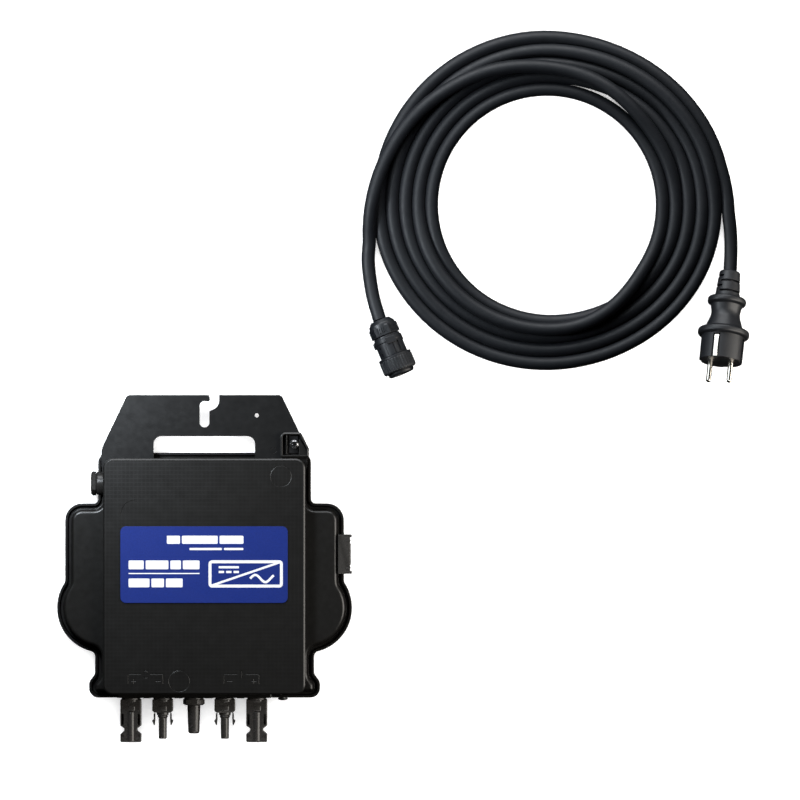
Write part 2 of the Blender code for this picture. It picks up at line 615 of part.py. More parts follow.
def mains_lead():
    ring = [(COIL_IN, 0), (COIL_IN, COIL_HEIGHT), (COIL_OUT, COIL_HEIGHT), (COIL_OUT, 0)]
    lathe("lead_coil", ring, RUBBER, 40, ring=True, parent=None, at=(COIL_X, COIL_Y, 0))
    tube("lead_to_coupler", LEAD_A)
    tube("lead_to_plug", LEAD_B)
    coupler()
    plug()


INNER = [back_plate(), tray()]
back_screws(*INNER)
shell()
housing_gasket()
cover()
label()
bracket()
ground_terminal()
connector_panel()
for index, place in enumerate(SHROUD_X, 1):
    shroud(index, place)
for index, place in enumerate(NOSE_X, 1):
    nose(index, place)
antenna()
ac_port()
vent()
status_light()
electronics()
mains_lead()
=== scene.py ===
"""Looks of the micro inverter and its coiled mains lead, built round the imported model.

Lengths are millimetres unless a name says otherwise, and MM turns them into metres. The housing is
drawn in the inverter's own frame, whose Y runs from the bottom edge of its tray.
"""

from math import atan2, cos, hypot, pi, radians, sin, sqrt, tan

import bmesh
import bpy
import numpy as np
from mathutils import Matrix, Quaternion, Vector


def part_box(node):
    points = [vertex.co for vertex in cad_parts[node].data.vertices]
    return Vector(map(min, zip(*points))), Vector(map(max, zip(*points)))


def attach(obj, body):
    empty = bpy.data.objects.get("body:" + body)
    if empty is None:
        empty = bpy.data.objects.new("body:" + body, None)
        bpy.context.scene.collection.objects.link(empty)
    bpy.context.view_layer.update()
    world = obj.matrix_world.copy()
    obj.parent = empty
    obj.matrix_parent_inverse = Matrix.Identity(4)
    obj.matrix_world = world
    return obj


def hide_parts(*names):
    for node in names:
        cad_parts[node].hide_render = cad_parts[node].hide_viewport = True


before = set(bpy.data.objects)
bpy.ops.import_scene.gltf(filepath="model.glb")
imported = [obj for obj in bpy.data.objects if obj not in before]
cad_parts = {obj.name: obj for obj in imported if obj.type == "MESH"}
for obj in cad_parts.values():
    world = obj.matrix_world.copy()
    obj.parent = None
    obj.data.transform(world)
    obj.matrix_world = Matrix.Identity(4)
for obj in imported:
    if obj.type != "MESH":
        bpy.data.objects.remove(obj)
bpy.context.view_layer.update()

MM = 0.001

# Housing
BODY_HEIGHT = 218.0
FOOT_X, NECK_X, EAR_X, SHOULDER_X, EAR_TOP = 102.8, 97.5, 124.1, 94.8, 172.8
LOBE_RADIUS, LOBE_X, LOBE_Y, LOBE_FILLET = 40.0, 91.3, 80.0, 5.0
PLATE_TOP, TRAY_FLOOR, RIM_TOP, SHELL_TOP, THICKNESS = 4.0, 6.8, 16.0, 25.0, 36.5
COVER_X, COVER_Y0, COVER_Y1, COVER_RADIUS = 90.0, 3.1, 213.1, 9.0
PANEL_X0, PANEL_X1, PANEL_TOP = -78.0, 60.0, 27.0
BRACKET_TOP, BRACKET_Z, BRACKET_Z1 = 269.4, 25.3, 27.3
HANDLE_X, HANDLE_Y0, HANDLE_Y1 = 45.1, 206.0, 232.7
LABEL_X, LABEL_Y0, LABEL_Y1, LABEL_Z = 74.3, 84.7, 152.7, 36.8

# Connectors
PORT_Z = 16.9
SHROUD_X = (-65.5, 46.5)
NOSE_X = (-37.2, 18.1)
ANTENNA_X = -9.5
SHROUD_END, ANTENNA_LENGTH = -39.6, 31.9
LATCH_ROOT = -13.7
AC_Y, AC_Z, AC_X1, AC_HEIGHT = 127.75, 16.6, 129.6, 34.7
VENT_PLACE = (-SHOULDER_X, 190.6, 14)
LED_PLACE = (69.6, 0, 11.2)
BACK_SCREWS = ((-84, 16), (84, 16), (-84, 196), (84, 196))
SHIFT_Y = -(BRACKET_TOP + SHROUD_END) / 2

# Mains lead, in the row frame
CORD_RADIUS = 6.0
COIL_X, COIL_Y, COIL_IN = 305.0, 324.0, 97.0
COUPLER_ENTRY, COUPLER_TURN, COUPLER_RISE = (156.0, 221.0, 13.1), 22.5, 4.0
PLUG_ENTRY, PLUG_TURN, PLUG_RISE, PLUG_ROLL = (468.0, 264.0, 10.5), -6.5, 14.3, 20.0
LEAD_A = [(146.6, 290.6, 7.5), (145.6, 275, 6.8), (147.2, 258, 7.2)]
LEAD_A += [(150.4, 240, 9.6), (155.9, 221.4, 13.0)]
LEAD_B = [(466.7, 317.0, 6.4), (468.3, 303, 6.3), (469.0, 290, 6.5)]
LEAD_B += [(468.8, 277, 7.8), (468.1, 264.5, 10.3)]
PIN_SPACING, PIN_RADIUS, PIN_LENGTH, PLUG_FACE = 19.0, 2.4, 19.0, 83.2

# Camera, above the middle of what the picture shows
VIEW_X, VIEW_Y, VIEW_WIDTH, LENS, SENSOR = 174.0, 150.0, 712.0, 400.0, 36.0


# ---- camera

def placed(name, data):
    made = bpy.data.objects.new(name, data)
    bpy.context.scene.collection.objects.link(made)
    return made


def camera():
    data = bpy.data.cameras.new("camera")
    data.lens = LENS
    data.sensor_width = SENSOR
    made = placed("camera", data)
    distance = VIEW_WIDTH * LENS / SENSOR
    made.location = Vector((VIEW_X, VIEW_Y, distance + THICKNESS / 2)) * MM
    data.clip_end = 100
    bpy.context.scene.camera = made


camera()


# ---- materials

PATCH_SCALE = 14  # drifts of colour per metre
ROUGH_CHANGE = 0.03
NOISE_ROUGHNESS = 0.55
MESH_SCALE = 88.0
SKINS = {}


def set_inputs(made, values):
    """Sets a node's inputs by name, with underscores for spaces."""
    for key, value in values.items():
        made.inputs[key.replace("_", " ")].default_value = value


def connect(tree, made, links):
    for key, socket in links.items():
        tree.links.new(socket, made.inputs[key])


def graph(name, **values):
    """A new material in SKINS: its node tree and its shader."""
    SKINS[name] = made = bpy.data.materials.new(name)
    made.use_nodes = True
    shader = made.node_tree.nodes["Principled BSDF"]
    set_inputs(shader, values)
    return made.node_tree, shader


def node(tree, kind, links, **values):
    made = tree.nodes.new(kind)
    set_inputs(made, values)
    connect(tree, made, links)
    return made


def maths(tree, operation, *sockets):
    made = node(tree, "ShaderNodeMath", dict(enumerate(sockets)))
    made.operation = operation
    return made.outputs["Value"]


def noise(tree, scale, detail, stretch=(1, 1, 1)):
    """Noise in the object's own space, in features per metre."""
    place = tree.nodes.new("ShaderNodeTexCoord").outputs["Object"]
    if stretch != (1, 1, 1):
        place = node(tree, "ShaderNodeMapping", {"Vector": place}, Scale=stretch).outputs["Vector"]
    values = dict(Scale=scale, Detail=detail, Roughness=NOISE_ROUGHNESS)
    return node(tree, "ShaderNodeTexNoise", {"Vector": place}, **values).outputs["Fac"]


def remap(tree, socket, low, high, from_low=0.3, from_high=0.7):
    ends = dict(From_Min=from_low, From_Max=from_high, To_Min=low, To_Max=high)
    return node(tree, "ShaderNodeMapRange", {"Value": socket}, **ends).outputs["Result"]


def blend_colours(tree, factor, first, second):
    made = tree.nodes.new("ShaderNodeMix")
    made.data_type = "RGBA"
    for value, socket in ((first, made.inputs[6]), (second, made.inputs[7])):
        if isinstance(value, bpy.types.NodeSocket):
            tree.links.new(value, socket)
        else:
            socket.default_value = (*value, 1)
    tree.links.new(factor, made.inputs[0])
    return made.outputs[2]


def mottled(tree, scale, dark, light):
    """A colour that drifts slowly between two."""
    return blend_colours(tree, remap(tree, noise(tree, scale, 4), 0, 1), dark, light)


def relief(tree, shader, height, strength, depth):
    """Fine relief on a finish, with its depth in millimetres."""
    bump = node(tree, "ShaderNodeBump", {"Height": height}, Strength=strength, Distance=depth * MM)
    connect(tree, shader, {"Normal": bump.outputs["Normal"]})


def surface(name, colour, roughness, *, shade=0.8, metallic=0.0, grain=600, depth=0.02, edge_lightening=0.0,
            stretch=(1, 1, 1), specular=0.5, coat=0.0):
    """A finish with slow colour change, fine relief and edges a little lighter where the mesh is
    sharpest.
    """
    values = dict(Metallic=metallic, Specular_IOR_Level=specular)
    tree, shader = graph(name, **values, Coat_Weight=coat, Coat_Roughness=0.25)
    fine, middle = noise(tree, grain, 2, stretch), noise(tree, grain / 7, 3, stretch)
    dark, light = tuple(c * shade for c in colour), tuple(c * 1.5 for c in colour)
    tone = mottled(tree, PATCH_SCALE, dark, colour)
    tone = blend_colours(tree, remap(tree, fine, 0, 0.35), tone, light)
    if edge_lightening:
        # Lighter colour on the sharp edges, found by pointiness.
        edge = tree.nodes.new("ShaderNodeNewGeometry").outputs["Pointiness"]
        sharp_edge_mask = remap(tree, edge, 0, edge_lightening, 0.52, 0.62)
        tone = blend_colours(tree, sharp_edge_mask, tone, tuple(min(1, c * 2.2 + 0.01) for c in colour))
    rough = remap(tree, middle, roughness - ROUGH_CHANGE, roughness + ROUGH_CHANGE)
    connect(tree, shader, {"Base Color": tone, "Roughness": rough})
    relief(tree, shader, fine, 0.6, depth)


def rubber(name):
    """Cable sheath: matt, with soft patches and a little dust."""
    tree, shader = graph(name, Specular_IOR_Level=0.45)
    tone = mottled(tree, 9, (0.0085, 0.0098, 0.0125), (0.012, 0.0135, 0.0165))
    dusty = remap(tree, noise(tree, 900, 1), 0, 0.25, 0.74, 0.8)
    tone = blend_colours(tree, dusty, tone, (0.06, 0.06, 0.06))
    rough = remap(tree, noise(tree, 160, 3), 0.5, 0.6)
    connect(tree, shader, {"Base Color": tone, "Roughness": rough})
    relief(tree, shader, noise(tree, 1400, 2), 0.25, 0.012)


def cover_paint(name):
    """Moulded black with a fine square mesh in its texture."""
    tree, shader = graph(name, Specular_IOR_Level=0.5)
    place = tree.nodes.new("ShaderNodeTexCoord").outputs["Object"]
    bands = []
    for direction in "XY":
        wave = node(tree, "ShaderNodeTexWave", {"Vector": place}, Scale=MESH_SCALE, Distortion=0.0)
        wave.bands_direction = direction
        bands.append(remap(tree, wave.outputs["Fac"], 0, 1, 0.86, 1.0))
    mesh = maths(tree, "MAXIMUM", *bands)
    tone = mottled(tree, 11, (0.0072, 0.0069, 0.0065), (0.0092, 0.0088, 0.0083))
    tone = blend_colours(tree, remap(tree, mesh, 0, 0.3, 0, 1), tone, (0.0045, 0.0045, 0.0045))
    patches = remap(tree, noise(tree, 120, 3), 0.33, 0.37)
    rough = maths(tree, "ADD", remap(tree, mesh, 0, 0.07, 0, 1), patches)
    connect(tree, shader, {"Base Color": tone, "Roughness": rough})
    relief(tree, shader, noise(tree, 1500, 2), 0.5, 0.015)


surface("case_paint", (0.0098, 0.0094, 0.0088), 0.33, grain=1500, depth=0.015, edge_lightening=0.35)
cover_paint("cover_paint")
surface(
    "back_alloy", (0.045, 0.045, 0.048), 0.4,
    metallic=0.6, grain=900, depth=0.03, edge_lightening=0.5,
)
surface("bracket_paint", (0.0078, 0.0078, 0.0080), 0.31, grain=1200, depth=0.012, edge_lightening=0.4)
surface(
    "label_film", (0.0055, 0.0205, 0.172), 0.52,
    shade=0.95, grain=700, depth=0.006, specular=0.3,
)
surface("label_ink", (0.86, 0.87, 0.9), 0.5, shade=0.97, grain=900, depth=0.004)
surface("connector_plastic", (0.0240, 0.0228, 0.0215), 0.27, grain=1300, depth=0.012, edge_lightening=0.3)
surface("coupler_plastic", (0.010, 0.0112, 0.0135), 0.4, grain=1300, depth=0.02, edge_lightening=0.3)
rubber("lead_rubber")
surface("plug_rubber", (0.010, 0.011, 0.0132), 0.44, grain=1500, depth=0.02, edge_lightening=0.2)
surface(
    "zinc_steel", (0.62, 0.62, 0.61), 0.24,
    metallic=1.0, shade=0.85, grain=500, stretch=(1, 9, 1),
)
surface("dark_zinc", (0.035, 0.035, 0.037), 0.3, metallic=0.8, grain=700, edge_lightening=0.6)
surface(
    "screw_zinc", (0.42, 0.42, 0.43), 0.2,
    metallic=1.0, shade=0.85, grain=600, depth=0.006, edge_lightening=0.5,
)
surface(
    "nickel_brass", (0.80, 0.76, 0.68), 0.14,
    metallic=1.0, shade=0.9, grain=400, depth=0.006,
)
surface("tinned_copper", (0.80, 0.78, 0.72), 0.3, metallic=1.0, shade=0.85, grain=500)
surface("board_resin", (0.012, 0.09, 0.035), 0.45, grain=500)
surface("ferrite_core", (0.045, 0.045, 0.05), 0.7, grain=900, depth=0.05)
surface("component_sleeve", (0.018, 0.025, 0.09), 0.35, grain=700)
surface("seal_rubber", (0.015, 0.015, 0.016), 0.62, grain=1000)
surface("clear_lens", (0.05, 0.055, 0.055), 0.12, grain=300, depth=0.004, coat=0.5)


# ---- shapes

INVERTER = Matrix.Translation(Vector((0, SHIFT_Y, 0)))
ROW = Matrix.Identity(4)  # the frame of the whole row: inverter and lead
SHARP_ANGLE = 34


def at(x, y, z, matrix=INVERTER):
    return matrix @ Matrix.Translation(Vector((x, y, z)))


def about_axis(matrix, degrees):
    return matrix @ Matrix.Rotation(radians(degrees), 4, "Z")


ALONG_X = Matrix.Rotation(radians(90), 4, "Y")  # turns local Z to +X
ALONG_DOWN = Matrix.Rotation(radians(90), 4, "X")  # turns local Z to -Y, and keeps local X


def axis_matrix(entry, turn, rise, roll=0.0):
    """Local Z runs from the cable entry to the open end: turned from -Y towards +X, and rising."""
    turn, rise = radians(turn), radians(rise)
    flat = cos(rise)
    ahead = Vector((sin(turn) * flat, -cos(turn) * flat, sin(rise)))
    facing = ahead.to_track_quat("Z", "Y") @ Quaternion((0, 0, 1), radians(roll))
    return Matrix.Translation(Vector(entry)) @ facing.to_matrix().to_4x4()


COUPLER = axis_matrix(COUPLER_ENTRY, COUPLER_TURN, COUPLER_RISE)
PLUG = axis_matrix(PLUG_ENTRY, PLUG_TURN, PLUG_RISE, PLUG_ROLL)


def rounded(corners, steps=6, closed=True):
    """Points along (x, y, radius) corners, each one turned through an arc of its radius."""
    points = []
    count = len(corners)
    for i, (x, y, r) in enumerate(corners):
        if r == 0 or (not closed and i in (0, count - 1)):
            points.append((x, y))
            continue
        here = Vector((x, y))
        back = (Vector(corners[i - 1][:2]) - here).normalized()
        ahead = (Vector(corners[(i + 1) % count][:2]) - here).normalized()
        half = back.angle(ahead) / 2
        reach = r / tan(half)
        middle = here + (back + ahead).normalized() * (r / sin(half))
        first, last = here + back * reach - middle, here + ahead * reach - middle
        sweep = first.angle_signed(last)
        start = atan2(first.y, first.x)
        for k in range(steps + 1):
            a = start - sweep * k / steps
            points.append((middle.x + r * cos(a), middle.y + r * sin(a)))
    return points


def inset_corners(corners, d):
    """The corners of an anticlockwise outline moved inwards, with their radii changed to match."""
    moved = []
    for i, (x, y, r) in enumerate(corners):
        here = Vector((x, y))
        before = (here - Vector(corners[i - 1][:2])).normalized()
        after = (Vector(corners[(i + 1) % len(corners)][:2]) - here).normalized()
        first, second = Vector((-before.y, before.x)), Vector((-after.y, after.x))
        place = here + (first + second) * (d / (1 + first.dot(second)))
        convex = before.cross(after) > 0
        radius = 0 if r == 0 else max(0.25, r - d) if convex else r + d
        moved.append((place.x, place.y, radius))
    return moved


def rounded_outline(corners, steps=8):
    """A function of the inset, which gives the outline's points there."""
    return lambda d: rounded(inset_corners(corners, d), steps)


def arc(cx, cy, r, start, end, steps):
    """Points on an arc between two angles in radians."""
    angles = [start + (end - start) * i / steps for i in range(steps + 1)]
    return [(cx + r * cos(a), cy + r * sin(a)) for a in angles]


def body_outline(d):
    """The housing's outline moved inwards by d: feet, neck, round lobes, ears and shoulders."""
    foot = [(0, 30, 0), (0, 0, 0), (FOOT_X, 0, 8.4), (FOOT_X, 14, 8.4)]
    foot += [(NECK_X, 21, 5), (NECK_X, 38, 0)]
    lower = rounded(inset_corners(foot, d), 8)[2:-1]
    radius, fillet = LOBE_RADIUS - d, LOBE_FILLET + d
    reach = LOBE_RADIUS + LOBE_FILLET
    low_x, high_x = NECK_X + LOBE_FILLET, EAR_X + LOBE_FILLET
    low_y = LOBE_Y - sqrt(reach**2 - (low_x - LOBE_X) ** 2)
    high_y = LOBE_Y + sqrt(reach**2 - (high_x - LOBE_X) ** 2)
    low_angle = atan2(low_y - LOBE_Y, low_x - LOBE_X)
    high_angle = atan2(high_y - LOBE_Y, high_x - LOBE_X)
    lobe = arc(low_x, low_y, fillet, pi, low_angle + pi, 6)[:-1]
    lobe += arc(LOBE_X, LOBE_Y, radius, low_angle, high_angle, 44)
    lobe += arc(high_x, high_y, fillet, high_angle + pi, pi, 5)[1:]
    ear = [(EAR_X, 120, 0), (EAR_X, EAR_TOP, 15), (SHOULDER_X, EAR_TOP, 4)]
    ear += [(SHOULDER_X, BODY_HEIGHT, 9), (0, BODY_HEIGHT, 0), (0, 120, 0)]
    upper = rounded(inset_corners(ear, d), 8)[1:-2]
    right = lower + lobe + upper
    return right + [(-x, y) for x, y in reversed(right)]


def mirrored(side):
    """Corners of one side, and their mirror images on the way back."""
    return side + [(-x, y, r) for x, y, r in reversed(side)]


def level(points, z):
    return [(x, y, z) for x, y in points]


def prism(points, z0, z1):
    return [level(points, z0), level(points, z1)], False


def circle(radius, sides, phase=0.0):
    step = 2 * pi / sides
    angles = [phase + i * step for i in range(sides)]
    return [(radius * cos(a), radius * sin(a)) for a in angles]


def mesh_of(name, parts, matrix, angle=SHARP_ANGLE):
    """One mesh from a list of (loops, ring) bodies, in metres in the row frame."""
    mesh = bpy.data.meshes.new(name)
    shape = bmesh.new()
    for loops, ring in parts:
        rows = [[shape.verts.new((matrix @ Vector(p)) * MM) for p in loop] for loop in loops]
        pairs = list(zip(rows, rows[1:]))
        if ring:
            pairs.append((rows[-1], rows[0]))
        else:
            shape.faces.new(rows[0])
            shape.faces.new(rows[-1])
        count = len(rows[0])
        for low, high in pairs:
            for i in range(count):
                j = (i + 1) % count
                shape.faces.new((low[i], low[j], high[j], high[i]))
    bmesh.ops.remove_doubles(shape, verts=shape.verts, dist=1e-7)
    bmesh.ops.recalc_face_normals(shape, faces=shape.faces)
    shape.to_mesh(mesh)
    shape.free()
    mesh.shade_smooth()
    mesh.set_sharp_from_angle(angle=radians(angle))
    return mesh


def swept(outline, profile, steps=5):
    """Loops of an outline along a profile of (inset, height, radius) corners."""
    return [level(outline(d), z) for d, z in rounded(profile, steps, closed=False)]


def turned(profile, sides=64, steps=4, phase=0.0, closed=True):
    """Loops of a profile of (radius, height, rounding) corners turned about Z."""
    return [level(circle(r, sides, phase), h) for r, h in rounded(profile, steps, closed)]


def spindle(profile, sides=64, steps=4, phase=0.0):
    """A turned body that ends in flat caps."""
    return turned(profile, sides, steps, phase, closed=False), False


def slab(outline, z0, z1, edge=0.3):
    """A flat piece with rounded edges."""
    profile = [(2 * edge, z0, 0), (0, z0, edge), (0, z1, edge), (2 * edge, z1, 0)]
    return swept(outline, profile, 3)


def box_corners(x0, y0, x1, y1, r):
    return [(x0, y0, r), (x1, y0, r), (x1, y1, r), (x0, y1, r)]


def bar(x0, y0, x1, y1, z0, z1, r=0.4, edge=0.12):
    """A rounded block, as a body."""
    return slab(rounded_outline(box_corners(x0, y0, x1, y1, r), 3), z0, z1, edge), False


def combine(target, operation, bodies):
    """Cuts (loops, ring, matrix) bodies out of an object, or unites them with it."""
    tools = []
    for i, (loops, ring, matrix) in enumerate(bodies):
        tool = placed(f"tool_{i}", mesh_of(f"tool_{i}", [(loops, ring)], matrix))
        change = target.modifiers.new(f"change_{i}", "BOOLEAN")
        change.operation = operation
        change.object = tool
        tools.append(tool)
    settled = target.evaluated_get(bpy.context.evaluated_depsgraph_get())
    mesh = bpy.data.meshes.new_from_object(settled)
    target.modifiers.clear()
    target.data = mesh
    mesh.shade_smooth()
    mesh.set_sharp_from_angle(angle=radians(SHARP_ANGLE))
    for tool in tools:
        bpy.data.objects.remove(tool, do_unlink=True)


def soften(target, width):
    """Rounds the sharp edges that are left."""
    change = target.modifiers.new("edges", "BEVEL")
    change.width = width * MM
    change.segments = 2
    change.limit_method = "ANGLE"
    change.angle_limit = radians(40)
    change.harden_normals = True
    change.miter_outer = "MITER_ARC"


LEAD_PIECES, CONNECTOR_PIECES = [], []  # what two of the lights are kept to


def paint(target, skin):
    target.data.materials.clear()
    target.data.materials.append(SKINS[skin])


def finish_piece(target, skin, body, slot, *nodes):
    """Gives a piece its finish, the body it moves with and the CAD nodes it stands for."""
    if body in ("ac_lead", "gland_nut", "coupling_ring"):
        LEAD_PIECES.append(target)
    elif skin == "connector_plastic":
        CONNECTOR_PIECES.append(target)
    paint(target, skin)
    if target.type == "MESH":
        weighted = target.modifiers.new("normals", "WEIGHTED_NORMAL")
        weighted.keep_sharp = True
        weighted.weight = 80
    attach(target, body)
    if nodes:
        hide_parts(*nodes)


def piece(name, parts, skin, *nodes, body="inverter", slot=None, matrix=INVERTER,
          bevel=0.0, cuts=(), join=False):
    """A finished piece from (loops, ring) bodies, united where join is set."""
    made = placed(name, mesh_of(name, parts[:1] if join else parts, matrix))
    if join:
        combine(made, "UNION", [(*part, matrix) for part in parts[1:]])
    if cuts:
        combine(made, "DIFFERENCE", cuts)
    if bevel:
        soften(made, bevel)
    finish_piece(made, skin, body, slot or skin, *nodes)


# ---- mains lead

def smooth_line(route, spacing):
    """Points about spacing apart along a Catmull-Rom curve through the route."""
    places = [Vector(p) for p in route]
    places = [2 * places[0] - places[1], *places, 2 * places[-1] - places[-2]]
    line = []
    for a, b, c, d in zip(places, places[1:], places[2:], places[3:]):
        steps = max(1, round((c - b).length / spacing))
        for i in range(steps):
            t = i / steps
            bend = (2 * a - 5 * b + 4 * c - d) * t**2 + (3 * b - a - 3 * c + d) * t**3
            line.append(0.5 * (2 * b + (c - a) * t + bend))
    line.append(places[-2])
    return line


# Radius and layer of the lead each quarter turn, from the left side clockwise over the top
TURNS = [
    (156.5, 1.0), (122, 1.2), (115, 0.5), (105, 0.0),
    (103, 0.0), (102.5, 0.0), (103, 0.0), (111.7, 0.9),
    (109, 1.0), (115, 0.0), (127, 1.0), (118.5, 0.0),
    (124, 0.2), (127.5, 0.0), (137, 0.0), (128, 0.8),
    (139, 0.5), (134.5, 1.0), (148, 0.7), (137.7, 0.0),
    (149, 0.0), (141.5, 0.0),
]
PER_TURN = 96
LAPS = 5
LAYER = 11  # how much higher a strand lies on another
SQUEEZE = 0.15  # how much closer than a diameter the strands lie
SETTLE_STEPS, SINK, PULL, EASE = 900, 0.05, 0.01, 0.3
HELD = 5  # points at each end that stay where the free ends meet them


def polar(point):
    x, y = point[0] - COIL_X, point[1] - COIL_Y
    return atan2(y, x), hypot(x, y)


def coil_line():
    """The coiled stretch: turns that rest on the floor and on each other."""
    start_angle, start_radius = polar(LEAD_A[0])
    end_angle, end_radius = polar(LEAD_B[0])
    start_angle %= 2 * pi
    total = start_angle - end_angle + 2 * pi * LAPS
    count = round(total / (2 * pi) * PER_TURN) + 1
    travelled = np.linspace(0, total, count)
    knots = [0.0] + [start_angle - pi + i * pi / 2 for i in range(len(TURNS))] + [total]
    radii = [start_radius] + [r for r, _ in TURNS] + [end_radius]
    rest = CORD_RADIUS
    heights = [LEAD_A[0][2]] + [rest + LAYER * h for _, h in TURNS] + [LEAD_B[0][2]]
    wanted = smooth_values(travelled, knots, radii)
    r, z = wanted.copy(), smooth_values(travelled, knots, heights)
    shift = round(count * 2 * pi / total)
    apart = 2 * CORD_RADIUS - SQUEEZE
    fixed_r, fixed_z = r.copy(), z.copy()
    for _ in range(SETTLE_STEPS):
        z -= SINK
        r += PULL * (wanted - r)
        for values in (r, z):
            values[1:-1] += EASE * ((values[2:] + values[:-2]) / 2 - values[1:-1])
        for laps in range(1, LAPS + 1):
            k = laps * shift
            dr, dz = r[k:] - r[:-k], z[k:] - z[:-k]
            gap = np.maximum(np.hypot(dr, dz), 1e-6)
            push = np.where(gap < apart, (apart - gap) / gap / 2, 0)
            r[k:] += dr * push
            r[:-k] -= dr * push
            z[k:] += dz * push
            z[:-k] -= dz * push
        r = np.clip(r, COIL_IN + CORD_RADIUS, None)
        z = np.maximum(z, rest)
        for values, fixed in ((r, fixed_r), (z, fixed_z)):
            values[:HELD] = fixed[:HELD]
            values[-HELD:] = fixed[-HELD:]
    turns = zip(start_angle - travelled, r, z)
    return [Vector((COIL_X + a * cos(t), COIL_Y + a * sin(t), h)) for t, a, h in turns]


def smooth_values(places, knots, values):
    """Values at places along a Catmull-Rom curve through (knot, value)."""
    knots, values = np.array(knots), np.array(values)
    slopes = np.gradient(values, knots)
    i = np.clip(np.searchsorted(knots, places, side="right") - 1, 0, len(knots) - 2)
    width = knots[i + 1] - knots[i]
    t = (places - knots[i]) / width
    first = (1 + 2 * t) * (1 - t) ** 2 * values[i] + t * (1 - t) ** 2 * width * slopes[i]
    return first + t**2 * (3 - 2 * t) * values[i + 1] + t**2 * (t - 1) * width * slopes[i + 1]


def mains_cord():
    first = smooth_line(LEAD_A, 6)[::-1]
    last = smooth_line(LEAD_B, 6)
    line = first[:-1] + coil_line() + last[1:]
    data = bpy.data.curves.new("mains_cord", "CURVE")
    data.dimensions = "3D"
    data.bevel_depth = CORD_RADIUS * MM
    data.bevel_resolution = 8
    data.use_fill_caps = True
    spline = data.splines.new("POLY")
    spline.points.add(len(line) - 1)
    for point, place in zip(spline.points, line):
        point.co = (*(place * MM), 1)
    spline.use_smooth = True
    made = placed("mains_cord", data)
    stands_for = ("lead_coil", "lead_to_coupler", "lead_to_plug")
    finish_piece(made, "lead_rubber", "ac_lead", "lead_rubber", *stands_for)
    length = sum((b - a).length for a, b in zip(line, line[1:])) * MM
    return made, length


CORD, CORD_LENGTH = mains_cord()


# ---- housing

AC_LOW, AC_HIGH = AC_Y - AC_HEIGHT / 2 - 0.3, AC_Y + AC_HEIGHT / 2 + 0.3
VENT_CUT = 10.6
MARK_DEPTH, GROOVE_WIDTH = 0.3, 0.9
SLOTS, SLOT_PITCH, SLOT_Y, SLOT_REACH, LAST_REACH = 6, 14.0, 100, 66, 34


def block(low, high):
    (x0, y0, z0), (x1, y1, z1) = low, high
    return *prism([(x0, y0), (x1, y0), (x1, y1), (x0, y1)], z0, z1), INVERTER


def hole(profile, sides, matrix, ring=False):
    """A turned cutter from sharp (radius, height) corners, which close to a ring where asked."""
    return turned([(r, h, 0) for r, h in profile], sides), ring, matrix


def groove(x, y, radius):
    """A fine V groove round a circle on the cover's face."""
    profile = [(radius + side * GROOVE_WIDTH, THICKNESS + MARK_DEPTH) for side in (-1, 1)]
    return hole([*profile, (radius, THICKNESS - MARK_DEPTH)], 72, at(x, y, 0), True)


def case_tray():
    profile = [
        (4, PLATE_TOP + 0.3, 0), (0.1, PLATE_TOP + 0.3, 0.8), (0, RIM_TOP, 0.5),
        (2.3, RIM_TOP, 0.4), (2.6, TRAY_FLOOR, 0.7), (5, TRAY_FLOOR, 0),
    ]
    cuts = [
        block((PANEL_X0, -2, TRAY_FLOOR + 0.4), (PANEL_X1, 6, 30)),
        block((EAR_X - 6.6, AC_LOW, TRAY_FLOOR + 0.2), (EAR_X + 4, AC_HIGH, 30)),
        hole([(VENT_CUT, -2.4), (VENT_CUT, 8)], 64, at(*VENT_PLACE) @ ALONG_X),
        hole([(4.7, -6), (4.7, 6)], 40, at(*LED_PLACE) @ ALONG_DOWN),
    ]
    tray = [(swept(body_outline, profile), False)]
    piece("case_tray", tray, "case_paint", "back_tray", cuts=cuts)


def heat_sink():
    """The ribbed alloy plate on the back, with a stepped hole for each corner screw."""
    plate = swept(body_outline, [(6, 0, 0), (3, 0, 0.5), (3, PLATE_TOP, 0.3), (6, PLATE_TOP, 0)], 3)
    seat = [(4.2, -1), (4.0, 0.4), (4.0, 2.4), (1.9, 2.4), (1.9, 6)]
    cuts = []
    for i in range(1, SLOTS + 1):
        for s in (-1, 1):
            x = s * (i + 0.5) * SLOT_PITCH
            reach = SLOT_REACH if i < SLOTS else LAST_REACH
            y0, y1 = SLOT_Y - reach, SLOT_Y + reach
            loops = [
                level(rounded(box_corners(x - w, y0, x + w, y1, r), 5), z)
                for w, r, z in ((4.6, 2.6, -1.0), (4.0, 2.0, 0.5), (3.6, 1.6, 2.0))
            ]
            cuts.append((loops, False, INVERTER))
    cuts += [hole(seat, 40, at(x, y, 0)) for x, y in BACK_SCREWS]
    piece("heat_sink", [(plate, False)], "back_alloy", "back_plate", cuts=cuts)
    head = [(1.5, 7.6, 0), (1.5, 2.1, 0), (3.5, 2.1, 0.2), (3.5, 0.3, 0.5), (1.7, 0.3, 0)]
    drive = [level(circle(r, 6), z) for r, z in ((1.7, -0.5), (1.5, 0.5), (1.45, 1.4))]
    for i, (x, y) in enumerate(BACK_SCREWS, 1):
        matrix = at(x, y, 0)
        bolt, socket = [spindle(head, 40)], [(drive, False, matrix)]
        piece(f"back_bolt_{i}", bolt, "zinc_steel", f"back_screw_{i}", matrix=matrix, cuts=socket)


